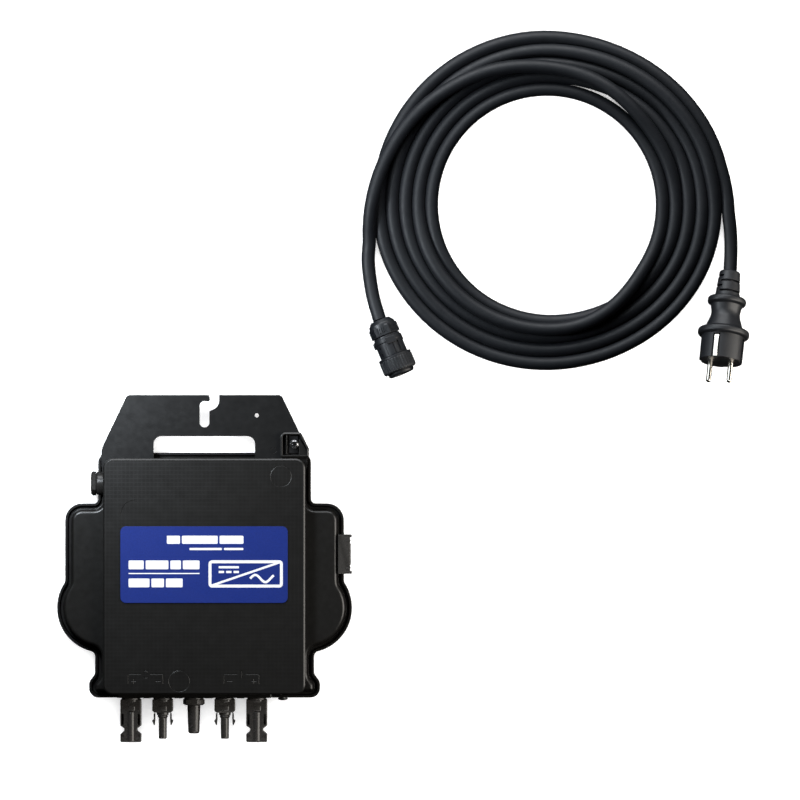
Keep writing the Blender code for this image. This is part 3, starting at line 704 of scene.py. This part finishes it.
def case_shell():
    profile = [
        (9.0, 22.4, 0), (8.1, 22.4, 0.5), (7.9, 8.4, 0), (2.95, 8.4, 0.2),
        (2.95, 12.4, 0.5), (5.7, 12.4, 0.8), (6.4, SHELL_TOP, 2.6), (10.4, SHELL_TOP, 0),
    ]
    cuts = [
        block((-80, 14, 20), (80, 188, 28)),
        block((PANEL_X0, -2, 5), (PANEL_X1, 6.1, 28)),
        block((EAR_X - 6.3, AC_LOW, 5), (EAR_X + 4, AC_HIGH, 28)),
        hole([(VENT_CUT, -2), (VENT_CUT, 6)], 64, at(*VENT_PLACE) @ ALONG_X),
    ]
    shell = [(swept(body_outline, profile, 6), False)]
    piece("case_shell", shell, "case_paint", "front_shell", cuts=cuts)


COVER = rounded_outline(box_corners(-COVER_X, COVER_Y0, COVER_X, COVER_Y1, COVER_RADIUS), 12)
LABEL = rounded_outline(box_corners(-LABEL_X, LABEL_Y0, LABEL_X, LABEL_Y1, 5), 10)


def case_cover():
    profile = [
        (4.5, 34.0, 0), (2.4, 34.0, 0.8), (2.3, SHELL_TOP + 0.35, 0),
        (0, SHELL_TOP + 0.35, 0.25), (0.25, THICKNESS - 0.85, 0.6), (1.6, THICKNESS, 0.25),
        (4, THICKNESS, 0),
    ]
    cuts = [
        block((-100, 203.2, 20), (100, 220, BRACKET_Z1 + 0.3)),
        block((PANEL_X0, 0, 20), (PANEL_X1, 8, PANEL_TOP + 0.3)),
        groove(68.3, 197.3, 9.3),
        groove(-22.0, 15.2, 9.3),
        *cover_marks(),
    ]
    parts = [(swept(COVER, profile, 6), False)]
    piece("case_cover", parts, "cover_paint", "front_cover", slot="case_paint", cuts=cuts)


def stroke(points, width, z0, z1):
    """A line of even width along points, as loops."""
    left, right = [], []
    for i, point in enumerate(points):
        here = Vector(point)
        before = (here - Vector(points[i - 1])).normalized() if i else None
        after = (Vector(points[i + 1]) - here).normalized() if i + 1 < len(points) else None
        along = ((before or after) + (after or before)).normalized()
        side = Vector((-along.y, along.x)) * (width / 2)
        left.append(tuple(here + side))
        right.append(tuple(here - side))
    return prism(right + left[::-1], z0, z1)


def cover_marks():
    """Cutters for the polarity signs and input numbers over the two pairs of connectors."""
    lines = [(arc(-61, 163, 13, pi, pi / 2, 16), 0.6)]
    two = [(-1.7, 1.6), (-1.4, 2.6), (0, 3.1), (1.4, 2.6), (1.6, 1.2), (-1.8, -3.1), (1.9, -3.1)]
    one = [(-1.3, 2.0), (0.2, 3.2), (0.2, -3.2)]
    for middle, plus_side, number in ((-51.7, -1, two), (33.6, 1, one)):
        line_y, foot_y, sign_y, reach = 21.4, 12.7, 15.2, 2.1
        for s in (-1, 1):
            corner = [(middle + s * 15.5, foot_y), (middle + s * 15.5, line_y - 0.8)]
            corner += [(middle + s * 14.7, line_y), (middle + s * 3.8, line_y)]
            lines.append((corner, 0.75))
            x = middle + s * 10.8
            lines.append(([(x - reach, sign_y), (x + reach, sign_y)], 0.8))
            if s == plus_side:
                lines.append(([(x, sign_y - reach), (x, sign_y + reach)], 0.8))
        lines.append(([(middle + x, line_y + y) for x, y in number], 0.8))
    cutters = []
    for points, width in lines:
        low = stroke(points, 0.08, THICKNESS - MARK_DEPTH, 0)[0][0]
        high = stroke(points, 2 * width, 0, THICKNESS + MARK_DEPTH)[0][1]
        cutters.append(([low, high], False, INVERTER))
    return cutters


def label():
    plate = [(slab(LABEL, LABEL_Z, LABEL_Z + 0.5, 0.14), False)]
    piece("label_face", plate, "label_film", "label_plate")
    z0, z1 = LABEL_Z + 0.4, LABEL_Z + 0.56
    parts = []

    def dashes(x0, x1, y0, y1, shares):
        """A row of plain blocks that fills x0 to x1 in these shares."""
        gap = 1.7
        width = (x1 - x0 - gap * (len(shares) - 1)) / sum(shares)
        for share in shares:
            parts.append(bar(x0, y0, x0 + width * share, y1, z0, z1, 0.9, 0.04))
            x0 += width * share + gap

    dashes(-33, 35, 137.2, 144.4, (1.1, 3, 2))
    dashes(-13, 35, 131.6, 133.6, (5, 3))
    dashes(-67, -4, 114.6, 122.4, (2, 3, 1.4, 2.2))
    parts.append(bar(-67, 110.4, -4, 111.3, z0, z1, 0.3, 0.04))
    dashes(-67, -19, 98.6, 106.4, (2, 1.2, 1.6))
    converter_symbol(parts, 4, 98.4, 70, 122.6, z0, z1)
    piece("label_print", parts, "label_ink", slot="label_film")


def converter_symbol(parts, x0, y0, x1, y1, z0, z1):
    """The plain diagram sign for direct to alternating current, in a frame."""
    width = 2.6
    half = width / 2
    frame_profile = [(0, z0, 0), (0, z1, 0), (width, z1, 0), (width, z0, 0)]
    outer = rounded_outline(box_corners(x0, y0, x1, y1, 3.2), 6)
    parts.append(([level(outer(d), z) for d, z, _ in frame_profile], True))
    parts.append(stroke([(x0 + half, y0 + half), (x1 - half, y1 - half)], 1.9, z0, z1 - 0.01))
    parts.append(bar(x0 + 9, y1 - 7.2, x0 + 27, y1 - 5.2, z0, z1, 0.4, 0.04))
    for i in range(3):
        left = x0 + 9 + i * 6.6
        parts.append(bar(left, y1 - 11.4, left + 4.8, y1 - 9.4, z0, z1, 0.4, 0.04))
    wave = [(x1 - 29 + i * 0.75, y0 + 8 + 3.2 * sin(i * pi / 12)) for i in range(29)]
    parts.append(stroke(wave, 2.1, z0, z1))


def hook_slot():
    """The cut that a rail bolt drops through: in at the top, then left under the lip."""
    points = [(13.2, 275), (4.2, 275), (4.2, 268.6), (4.9, 267.4)]
    points += arc(3.2, 265.4, 1.9, radians(25), radians(-115), 10)
    points += arc(0.1, 259.7, 4.2, radians(78), pi, 8)
    points += arc(0.2, 244.9, 4.3, pi, 2 * pi, 20)
    points.append((4.5, 255))
    points += arc(4.3, 264.6, 8.9, radians(-76), 0, 12)
    return points


def hanging_bracket():
    side = [(91.5, 203.7, 2), (91.5, 219, 3), (90.4, 223.9, 4), (68.6, BRACKET_TOP, 4)]
    low, high = BRACKET_Z - 2, BRACKET_Z1 + 2
    handle = [(-HANDLE_X, HANDLE_Y0, 2), (HANDLE_X, HANDLE_Y0, 2)]
    handle += [(HANDLE_X, HANDLE_Y1, 7), (-HANDLE_X, HANDLE_Y1, 7)]
    cuts = [
        (*prism(rounded(handle, 10), low, high), INVERTER),
        (*prism(hook_slot(), low, high), INVERTER),
        hole([(1.85, low), (1.85, high)], 32, at(46.7, 251.2, 0)),
        hole([(2.3, 29), (3.0, 29), (2.65, BRACKET_Z1 - 0.3)], 40, at(61.9, 220.2, 0), True),
    ]
    parts = [prism(rounded(mirrored(side), 8), BRACKET_Z, BRACKET_Z1)]
    piece("hanging_bracket", parts, "bracket_paint", "mounting_bracket", cuts=cuts, bevel=0.4)


def ground_terminal():
    z = BRACKET_Z1 + 0.3
    low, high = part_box("ground_plate")
    x0, x1 = low.x / MM, high.x / MM
    y0, y1 = low.y / MM - SHIFT_Y, high.y / MM - SHIFT_Y
    corners = [(67.6, 213.9, 1.8), (93.2, 213.9, 1.8), (93.2, 221.6, 3)]
    corners += [(85.9, 236.2, 3), (67.6, 236.2, 4.5)]
    rim = rounded_outline(corners, 8)
    ring = [(0, z, 0), (0.1, z + 4.1, 0.25), (1.3, z + 4.85, 0.25)]
    ring += [(2.0, z + 4.7, 0.3), (2.1, z, 0)]
    parts = [([level(rim(d), h) for d, h in rounded(ring, 5)], True)]
    parts.append(bar(x0 - 2.4, 216.2, x0 - 1.3, 233.4, z, z + 4.0, 0.4, 0.4))
    near = x1 + 0.8
    step = [(near, 215.8, 0.5), (90.8, 215.8, 0.5), (90.8, 220.6, 0.6), (near, 231.4, 0.5)]
    parts.append((slab(rounded_outline(step, 4), z, z + 3.4, 0.3), False))
    piece("ground_frame", parts, "case_paint", "ground_bezel")
    tab = [bar(x0, y0, x1, y1, z, z + 1.4, 0.5, 0.25)]
    piece("ground_tab", tab, "dark_zinc", "ground_plate", slot="zinc_steel")
    low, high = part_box("ground_screw")
    middle = (low + high) / 2 / MM
    seat = z + 1.7
    profile = [(2.0, z - 6.2, 0.3), (2.0, seat, 0), (4.25, seat, 0.3), (4.2, seat + 1.3, 0.9)]
    head = turned([*profile, (2.6, seat + 2.7, 1.2)], 48, 5, closed=False)
    head += [level(circle(0.5, 48), seat + 2.8)]
    matrix = at(middle.x, middle.y, 0, ROW)
    cuts = []
    for a, b in ((2.3, 0.55), (0.55, 2.3)):
        loops = [
            level([(-a * k, -b * k), (a * k, -b * k), (a * k, b * k), (-a * k, b * k)], h)
            for k, h in ((0.35, seat + 0.9), (1.25, seat + 3.4))
        ]
        cuts.append((loops, False, matrix @ Matrix.Rotation(0.15, 4, "Z")))
    named = ("ground_screw_head", [(head, False)], "screw_zinc", "ground_screw")
    piece(*named, body="ground_screw", slot="zinc_steel", matrix=matrix, cuts=cuts)


# ---- connectors

def port_panel():
    corners = box_corners(PANEL_X0 + 0.3, TRAY_FLOOR + 0.7, PANEL_X1 - 0.3, PANEL_TOP, 1.2)
    front = slab(rounded_outline(corners, 5), 0.0, 5.1, 0.5)
    parts = [([[(x, z, -h) for x, z, h in loop] for loop in front], False)]
    for x0, x1 in ((-54.6, -47.6), (-26.6, -19.3), (0.2, 7.3), (28.9, 35.6)):
        rib = slab(rounded_outline(box_corners(x0, 12.0, x1, 21.8, 1.0), 4), 0.0, 1.2, 0.3)
        parts.append(([[(x, z, 0.55 - h) for x, z, h in loop] for loop in rib], False))
    matrix = INVERTER @ ALONG_DOWN
    piece("port_panel", parts, "case_paint", "connector_panel", matrix=matrix)


def shoulder():
    """The round flange, step and faceted collar that both kinds of connector start with."""
    flange = [(5.0, -5, 0), (5.0, 0.3, 0), (8.4, 0.3, 0.3), (8.4, 1.7, 0.5)]
    flange += [(7.6, 2.1, 0), (7.6, 2.5, 0)]
    cone = [
        (5.0, 1.2, 0), (7.9, 1.3, 0.4), (7.9, 3.6, 0.5), (6.9, 4.1, 0.3), (7.1, 7.2, 0.3),
        (7.6, 7.7, 0.3), (7.6, 11.7, 0.5), (4.6, 12.6, 0.4), (3.0, 12.9, 0),
    ]
    return [spindle(flange, 64, 3), spindle(cone, 12, 3, radians(8))]


def down_slab(corners, z0, z1, edge):
    """A flat piece across the connector's axis, from (x, distance out from the panel, radius)."""
    flat = slab(rounded_outline(corners, 5), z0, z1, edge)
    return [[(x, h, d) for x, d, h in loop] for loop in flat], False


def shroud(number, x):
    half, notch = 9.3, 5.8
    side = [(half, 1.3, 0.9), (half, 24.7, 0.7), (notch, 27.3, 0.8), (notch, 29.3, 0.8)]
    side += [(half, 32.4, 0.9), (half, 39.5, 1.2)]
    parts = [down_slab(mirrored(side), -6.5, 6.5, 0.8), *shoulder()]
    rib, ring = spindle([(0.4, 12.6, 0), (3.5, 12.9, 0.3), (3.5, 39.1, 0.5), (0.4, 39.4, 0)], 48, 3)
    for s in (-1, 1):
        parts.append(([[(px, py + s * 4.3, h) for px, py, h in loop] for loop in rib], ring))
    matrix = at(x, 0, PORT_Z) @ ALONG_DOWN
    cuts = [hole([(4.4, 14), (4.4, 44)], 48, matrix)]
    for s in (-1, 1):
        slot = box_corners(s * 7.2 - 1.0, 14.2, s * 7.2 + 1.0, 24.2, 0.8)
        cuts.append((*down_slab(slot, 1.2, 9, 0.01), matrix))
        cuts.append((*down_slab(slot, -9, -1.2, 0.01), matrix))
        dent = box_corners(s * 7.4 - 1.2, 32.8, s * 7.4 + 1.2, 35.4, 0.6)
        cuts.append((*down_slab(dent, 5.6, 9, 0.01), matrix))
    named = (f"shroud_{number}", parts, "connector_plastic", f"dc_shroud_{number}")
    piece(*named, matrix=matrix, cuts=cuts, join=True)


def nose(number, x):
    half = 9.2
    side = [(half, 1.3, 0.9), (half, 11.4, 0.8), (7.6, 13.2, 0.6)]
    parts = [down_slab(mirrored(side), -6.5, 6.5, 0.8), *shoulder()]
    barrel = [(1.9, 10, 0), (5.3, 10, 0), (5.3, 15.2, 0.4), (4.2, 15.8, 0.2), (4.6, 16.8, 0.3)]
    barrel += [(3.6, 18.3, 0.4), (3.6, 35.9, 0.6), (3.0, 36.6, 0.2), (1.9, 36.6, 0)]
    parts.append((turned(barrel, 56, 3), True))
    matrix = at(x, 0, PORT_Z) @ ALONG_DOWN
    cuts = [hole([(1.85, 9), (1.85, 44)], 40, matrix)]
    for s in (-1, 1):
        slot = box_corners(s * 7.5 - 1.5, 11.9, s * 7.5 + 1.5, 16, 0.3)
        cuts.append((*down_slab(slot, -3.2, 3.2, 0.01), matrix))
    named = (f"nose_{number}", parts, "connector_plastic", f"dc_nose_{number}")
    piece(*named, matrix=matrix, cuts=cuts, join=True)
    for letter, s in (("a", -1), ("b", 1)):
        arm = [(-0.95, 0.35, 0.2), (0.45, 0.35, 0.2), (0.55, 5.8, 0.8), (1.85, 6.7, 0.3)]
        arm += [(1.85, 7.6, 0.4), (0.25, 11.1, 0.2), (-0.45, 11.1, 0.2), (-0.95, 6.4, 0.6)]
        if s < 0:
            arm = [(-px, d, r) for px, d, r in reversed(arm)]
        place = at(x + s * 7.5, LATCH_ROOT + 0.3, PORT_Z) @ ALONG_DOWN
        latch = f"latch_{number}{letter}"
        parts = [down_slab(arm, -2.6, 2.6, 0.2)]
        piece(f"arm_{number}{letter}", parts, "connector_plastic", latch, body=latch, matrix=place)


def antenna():
    matrix = at(ANTENNA_X, 0, PORT_Z) @ ALONG_DOWN
    mast = [(3.0, -8, 0), (4.2, -8, 0.2), (4.2, 6.9, 0), (5.75, 6.9, 0.3), (5.75, 8.6, 0.4)]
    mast += [(4.95, ANTENNA_LENGTH, 2.0), (1.5, ANTENNA_LENGTH, 0)]
    piece("antenna_rod", [spindle(mast, 64, 7)], "connector_plastic", "antenna_mast", matrix=matrix)
    nut = [(5.2, 1.4, 0), (5.2, 6.7, 0), (7.9, 6.7, 0.3)]
    nut += [(9.9, 5.5, 0.3), (9.9, 1.7, 0.3), (9.3, 1.4, 0)]
    washer = [(5.2, 0.3, 0), (5.2, 1.4, 0), (8.7, 1.4, 0.3), (8.7, 0.3, 0.2)]
    parts = [(turned(nut, 6, 3, radians(12)), True), (turned(washer, 56, 3), True)]
    piece("antenna_hex", parts, "connector_plastic", "antenna_nut", matrix=matrix)


def ac_port():
    """The mains socket's housing: a block round the bore, with a lip and a rib at each end."""
    half, lip = AC_HEIGHT / 2, 2.2
    x0, z0, z1 = EAR_X - 5.2, TRAY_FLOOR + 0.5, 26.2
    centre = at(x0, AC_Y, AC_Z) @ ALONG_X
    bore = hole([(8.6, 1.6), (8.6, 20)], 64, centre)
    parts = [bar(x0, AC_Y - half, AC_X1, AC_Y + half, z0, z1, 0.7, 0.35)]
    piece("ac_port_body", parts, "connector_plastic", "ac_port_housing", cuts=[bore])
    parts = []
    for s in (-1, 1):
        y0, y1 = sorted((AC_Y + s * (half - lip), AC_Y + s * (half + 0.05)))
        parts.append(bar(x0 + 6, y0, 131.1, y1, z0 - 0.05, z1 + 0.1, 0.4, 0.25))
        y = AC_Y + s * 12.2
        parts.append(bar(x0 + 7, y - 0.6, AC_X1 + 0.4, y + 0.6, z0 + 0.9, z1 + 0.4, 0.3, 0.2))
    piece("ac_port_ribs", parts, "connector_plastic")
    rim = [(8.7, 9.6, 0), (8.7, 11.3, 0.2), (9.5, 11.3, 0.3), (9.6, 9.6, 0)]
    piece("ac_port_rim", [(turned(rim, 64, 3), True)], "connector_plastic", matrix=centre)


def vent():
    """A hex cap on a round collar, which sits in a cut through the side wall."""
    matrix = at(*VENT_PLACE) @ ALONG_X
    collar = [(3.0, 11, 0), (5.4, 11, 0), (5.4, 4.9, 0), (10.3, 4.9, 0.4)]
    collar += [(10.3, -0.4, 1.5), (9.2, -1.6, 0.6), (7.0, -1.9, 0)]
    cap = [(7.0, -1.2, 0), (10.9, -1.9, 0.4), (10.9, -4.6, 0.5), (9.4, -6.3, 0.6), (4.0, -6.2, 0)]
    slots = [(5.2, -6.9), (6.2, -6.9), (6.2, -5.5), (5.2, -5.5)]
    parts = [spindle(collar, 72, 5), spindle(cap, 6, 3, radians(30))]
    cuts = [hole(slots, 48, matrix, True)]
    piece("vent_cap", parts, "connector_plastic", "vent_plug", matrix=matrix, cuts=cuts, join=True)


def status_light():
    matrix = at(*LED_PLACE) @ ALONG_DOWN
    lens = [(2.0, -2.2, 0), (3.2, -2.2, 0.2), (3.2, 0.3, 0), (4.5, 0.3, 0.2), (4.3, 1.6, 0.7)]
    lens += [(2.2, 2.5, 1.2), (0.6, 2.6, 0)]
    piece("status_lens", [spindle(lens, 48, 5)], "clear_lens", "status_led_lens", matrix=matrix)


def carried_nodes():
    """CAD pieces that keep their shape, with the finish of their slot."""
    finishes = {
        "zinc_steel": ["radio_module"],
        "tinned_copper": ["dc_pin_1", "dc_pin_2", "dc_sleeve_1", "dc_sleeve_2"],
        "nickel_brass": ["ac_pin_1", "ac_pin_2", "ac_pin_3"],
        "connector_plastic": ["ac_port_insert", "coupler_insert"],
        "seal_rubber": ["housing_gasket", "thermal_pad", "vent_seal"],
        "board_resin": ["main_board", "output_terminal"],
        "ferrite_core": ["transformer_1", "transformer_2", "filter_choke"],
        "component_sleeve": ["capacitor_1", "capacitor_2", "grid_relay"],
    }
    for skin, names in finishes.items():
        for name in names:
            paint(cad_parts[name], skin)


for make in (case_tray, heat_sink, case_shell, case_cover, label, hanging_bracket, ground_terminal,
             port_panel):
    make()
for make, places in ((shroud, SHROUD_X), (nose, NOSE_X)):
    for index, place in enumerate(places, 1):
        make(index, place)
for make in (antenna, ac_port, vent, status_light, carried_nodes):
    make()


# ---- ends of the lead

def ridged(count, height):
    """Points round a circle with raised ribs, by radius and by how far the ribs rise."""
    steps = [height * lift for lift in (0, 0, 0.15, 0.85, 1, 1, 0.85, 0.15)] * count
    turn = 2 * pi / len(steps)

    def outline(radius, raised):
        reach = [radius + raised * d for d in steps]
        return [(r * cos(i * turn), r * sin(i * turn)) for i, r in enumerate(reach)]

    return outline


def sector_box(angle, near, far, width, z0, z1, matrix):
    """A block that points outwards at an angle about the axis, as a cutter or a part."""
    half = width / 2
    corners = [(near, -half), (far, -half), (far, half), (near, half)]
    return *prism(corners, z0, z1), about_axis(matrix, angle)


def gland_nut():
    """A domed nut with six ribbed flats."""
    bore = CORD_RADIUS + 0.25
    dome = [(bore, 0, 0), (8.8, 0, 1.0), (11.7, 3.6, 2.2)]
    dome += [(12.1, 6.6, 0), (12.1, 12, 0), (bore, 12, 0)]
    angles = [radians(8 + 60 * i) for i in range(6)]
    outline = rounded_outline([(13.5 * cos(a), 13.5 * sin(a), 0.9) for a in angles], 4)
    shape = [(5.0, 5.6, 0), (0.7, 5.6, 0.5), (0, 6.6, 0.5), (0, 14.7, 0.6), (5.0, 14.7, 0)]
    parts = [(turned(dome, 72, 5), True), (swept(outline, shape, 4), False)]
    cuts = [hole([(bore, -2), (bore, 18)], 48, COUPLER)]
    for side in range(6):
        for i in range(-2, 3):
            flat = at(0, i * 1.9, 0, about_axis(COUPLER, 38 + 60 * side))
            cuts.append(sector_box(0, 11.35, 13.5, 0.64, 8.0, 13.4, flat))
    named = ("gland_nut_cap", parts, "coupler_plastic", "coupler_gland_nut")
    piece(*named, body="gland_nut", slot="connector_plastic", matrix=COUPLER, cuts=cuts, join=True)


def coupler_body():
    """The shell between the nut and the ring, with latch windows, and the keyed nose."""
    shell = [
        (7.0, 15.3, 0), (11.9, 15.3, 0.3), (11.9, 16.9, 0.2), (12.9, 17.3, 0.3),
        (12.9, 20.6, 0.4), (12.4, 21.2, 0.3), (12.5, 33.7, 0.3), (11.9, 33.7, 0),
        (11.9, 50.2, 0.5), (11.0, 51.9, 0.8), (9.6, 51.9, 0.3), (9.6, 40.0, 0),
        (7.0, 40.0, 0),
    ]
    rest = dict(body="ac_lead", slot="connector_plastic")
    parts = [(turned(shell, 80, 3), True)]
    cuts = []
    for turn in (55, 175, 295):
        cuts.append(sector_box(turn, 11.2, 15, 2.6, 22.6, 32.4, COUPLER))
        cuts.append(sector_box(turn + 22, 11.6, 15, 1.0, 22.4, 32.8, COUPLER))
        cuts.append(sector_box(turn + 55, 11.9, 15, 0.5, 23.0, 33.0, COUPLER))
        for z in (23.0, 29.4):
            cuts.append(sector_box(turn + 84, 11.4, 15, 1.7, z, z + 2.4, COUPLER))
        cuts.append(sector_box(turn - 26, 10.9, 15, 5.0, 47.9, 54, COUPLER))
    named = ("coupler_shell", parts, "coupler_plastic", "coupler_body")
    piece(*named, matrix=COUPLER, cuts=cuts, join=True, **rest)
    for i, turn in enumerate((80, 200, 320), 1):
        tab = slab(rounded_outline(box_corners(17.8, -4.6, 23.2, 4.6, 0.7), 3), 12.3, 13.4, 0.2)
        parts = [([[(h, y, z) for z, y, h in loop] for loop in tab], False)]
        matrix = about_axis(COUPLER, turn)
        piece(f"coupler_tab_{i}", parts, "coupler_plastic", matrix=matrix, **rest)


def coupling_ring():
    """The ring that locks the two halves, with ribs for the fingers."""
    outline = ridged(34, 0.5)
    inner = 12.5
    levels = [
        (inner, 34.2, 0), (14.8, 34.2, 0), (15.1, 34.5, 0), (15.1, 35.9, 0),
        (14.75, 36.3, 0), (14.7, 36.7, 0.4), (14.7, 37.1, 1), (14.7, 47.1, 1),
        (14.5, 47.9, 0.6), (14.1, 48.5, 0), (inner, 48.5, 0),
    ]
    loops = [level(outline(r, raised), h) for r, h, raised in levels]
    made = placed("lock_ring", mesh_of("lock_ring", [(loops, True)], COUPLER, 28))
    finish_piece(made, "coupler_plastic", "coupling_ring", "connector_plastic", "coupler_ring")


def strain_relief():
    """A short tapered boot, slit from two sides in turn."""
    bore = CORD_RADIUS + 0.2
    shape = [(bore, 0, 0), (8.6, 0, 0.9), (9.3, 1.2, 0.5), (9.5, 4, 0)]
    shape += [(11.1, 23.6, 0.2), (bore, 23.6, 0)]
    slits = ((5.2, 205), (9.9, 25), (14.6, 205), (19.3, 25))
    cuts = [sector_box(turn, -1.5, 16, 30, h - 0.85, h + 0.85, PLUG) for h, turn in slits]
    named = ("plug_boot", [(turned(shape, 72, 4), True)], "plug_rubber", "plug_strain_relief")
    piece(*named, body="ac_lead", slot="lead_rubber", matrix=PLUG, cuts=cuts, bevel=0.3)
    core = [(2, 0.6, 0), (CORD_RADIUS, 0.6, 0.4), (CORD_RADIUS, 23.7, 0.2), (2, 23.7, 0)]
    piece("sheath_in_boot", [spindle(core, 48, 3)], "lead_rubber", body="ac_lead", matrix=PLUG)


def plug_grip():
    """The moulded grip: a round lip, a waist, a wide lip and the face that goes into the socket."""
    shape = [
        (3.0, 23.9, 0), (12.0, 23.9, 1.0), (17.2, 24.6, 2.6), (17.2, 30.2, 2.4),
        (14.2, 31.0, 1.6), (12.4, 40.0, 14.0), (17.3, 53.4, 3.0), (23.0, 54.0, 2.5),
        (23.0, 60.3, 2.6), (19.3, 60.6, 0.6), (19.2, PLUG_FACE, 0.5), (3.0, PLUG_FACE, 0),
    ]
    cuts = []
    for turn in (0, 180):
        cuts.append(sector_box(turn, 17.4, 24, 5.2, 61.6, 90, PLUG))
        cuts.append(sector_box(turn + 90, 16.9, 24, 6.6, 61.6, 90, PLUG))
    pin_places = [at(s * PIN_SPACING / 2, 0, 0, PLUG) for s in (-1, 1)]
    for place in pin_places:
        cuts.append(hole([(PIN_RADIUS + 0.25, 64), (PIN_RADIUS + 0.25, 90)], 40, place))
    named = ("plug_grip", [spindle(shape, 112, 10)], "plug_rubber", "plug_body")
    piece(*named, body="ac_lead", slot="lead_rubber", matrix=PLUG, cuts=cuts)
    for i, (s, place) in enumerate(zip((-1, 1), pin_places), 1):
        tip = PLUG_FACE + PIN_LENGTH
        pin = [(0.6, 65, 0), (PIN_RADIUS, 65, 0.2), (PIN_RADIUS, tip - 0.3, 1.9), (0.6, tip, 0)]
        named = (f"contact_pin_{i}", [spindle(pin, 48, 8)], "nickel_brass", f"plug_pin_{i}")
        piece(*named, body="ac_lead", matrix=place)
        strip = [(16.95, 62.0), (17.7, 62.0), (18.6, 63.4), (18.9, 70)]
        strip += [(18.9, 77), (18.3, 82.6), (17.6, 82.9), (16.95, 82.9)]
        loops = [[(x, y, z) for x, z in strip] for y in (-1.9, 1.9)]
        named = (f"earth_strip_{i}", [(loops, False)], "nickel_brass", f"plug_earth_clip_{i}")
        piece(*named, body="ac_lead", matrix=about_axis(PLUG, s * 90), bevel=0.18)


for make in (gland_nut, coupler_body, coupling_ring, strain_relief, plug_grip):
    make()


# ---- light and floor

# Name, place, aim and size in millimetres, power in watts, colour
LIGHTS = [
    ("sky_left", (-197, 247, 327), (-60, 110, 20), (130, 130), 2.1, (0.86, 0.93, 1.0)),
    ("wall_right", (1150, 40, 560), (120, 20, 0), (720, 1300), 15.5, (1.0, 0.95, 0.88)),
    ("wall_top", (120, 1300, 560), (100, 100, 0), (1500, 680), 15.0, (0.95, 0.97, 1.0)),
    ("coil_left", (-200, 800, 700), (305, 324, 0), (800, 800), 4.2, (0.84, 0.92, 1.0)),
    ("front_fill", (120, -400, 330), (0, -140, 10), (260, 160), 1.0, (1.0, 0.95, 0.9)),
    ("floor_wash", (170, 150, 2600), (170, 150, 0), (3600, 3600), 140.0, (1, 1, 1)),
]


def area_light(name, place, aim, size, power, colour):
    """A soft box that the camera doesn't see."""
    data = bpy.data.lights.new(name, "AREA")
    data.shape = "RECTANGLE"
    data.size, data.size_y = size[0] * MM, size[1] * MM
    data.energy = power
    data.color = colour
    made = placed(name, data)
    made.location = Vector(place) * MM
    direction = Vector(aim) - Vector(place)
    made.rotation_mode = "QUATERNION"
    made.rotation_quaternion = direction.to_track_quat("-Z", "Y")
    made.visible_camera = False
    return made


def light_only(light, pieces):
    """Keeps a light on these pieces."""
    lit = bpy.data.collections.new(light.name + "_only")
    for target in pieces:
        lit.objects.link(target)
    light.light_linking.receiver_collection = lit


def studio():
    mesh = bpy.data.meshes.new("floor")
    side = 12.0
    corners = [(-side, -side), (side, -side), (side, side), (-side, side)]
    mesh.from_pydata(level(corners, -0.0004), [], [(0, 1, 2, 3)])
    floor = placed("floor", mesh)
    values = dict(Base_Color=(0.9, 0.9, 0.9, 1), Roughness=0.9, Specular_IOR_Level=0.1)
    glow = dict(Emission_Color=(1, 1, 1, 1), Emission_Strength=0.32)
    graph("floor_white", **values, **glow)
    mesh.materials.append(SKINS["floor_white"])
    floor.visible_glossy = False
    floor.visible_diffuse = False

    world = bpy.data.worlds.new("studio")
    world.use_nodes = True
    tree = world.node_tree
    place = tree.nodes.new("ShaderNodeTexCoord").outputs["Generated"]
    height = node(tree, "ShaderNodeSeparateXYZ", {"Vector": place}).outputs["Z"]
    strength = remap(tree, height, 0.3, 0.05, 0.0, 0.7)
    tree.links.new(strength, tree.nodes["Background"].inputs["Strength"])
    bpy.context.scene.world = world

    lights = {row[0]: area_light(*row) for row in LIGHTS}
    light_only(lights["coil_left"], LEAD_PIECES)
    light_only(lights["front_fill"], CONNECTOR_PIECES)
    light_only(lights["floor_wash"], [floor])
    no_lead = bpy.data.collections.new("no_lead")
    no_lead.objects.link(CORD)
    no_lead.collection_objects[0].light_linking.link_state = "EXCLUDE"
    lights["wall_right"].light_linking.receiver_collection = no_lead
    bpy.context.scene.view_settings.view_transform = "Standard"


studio()
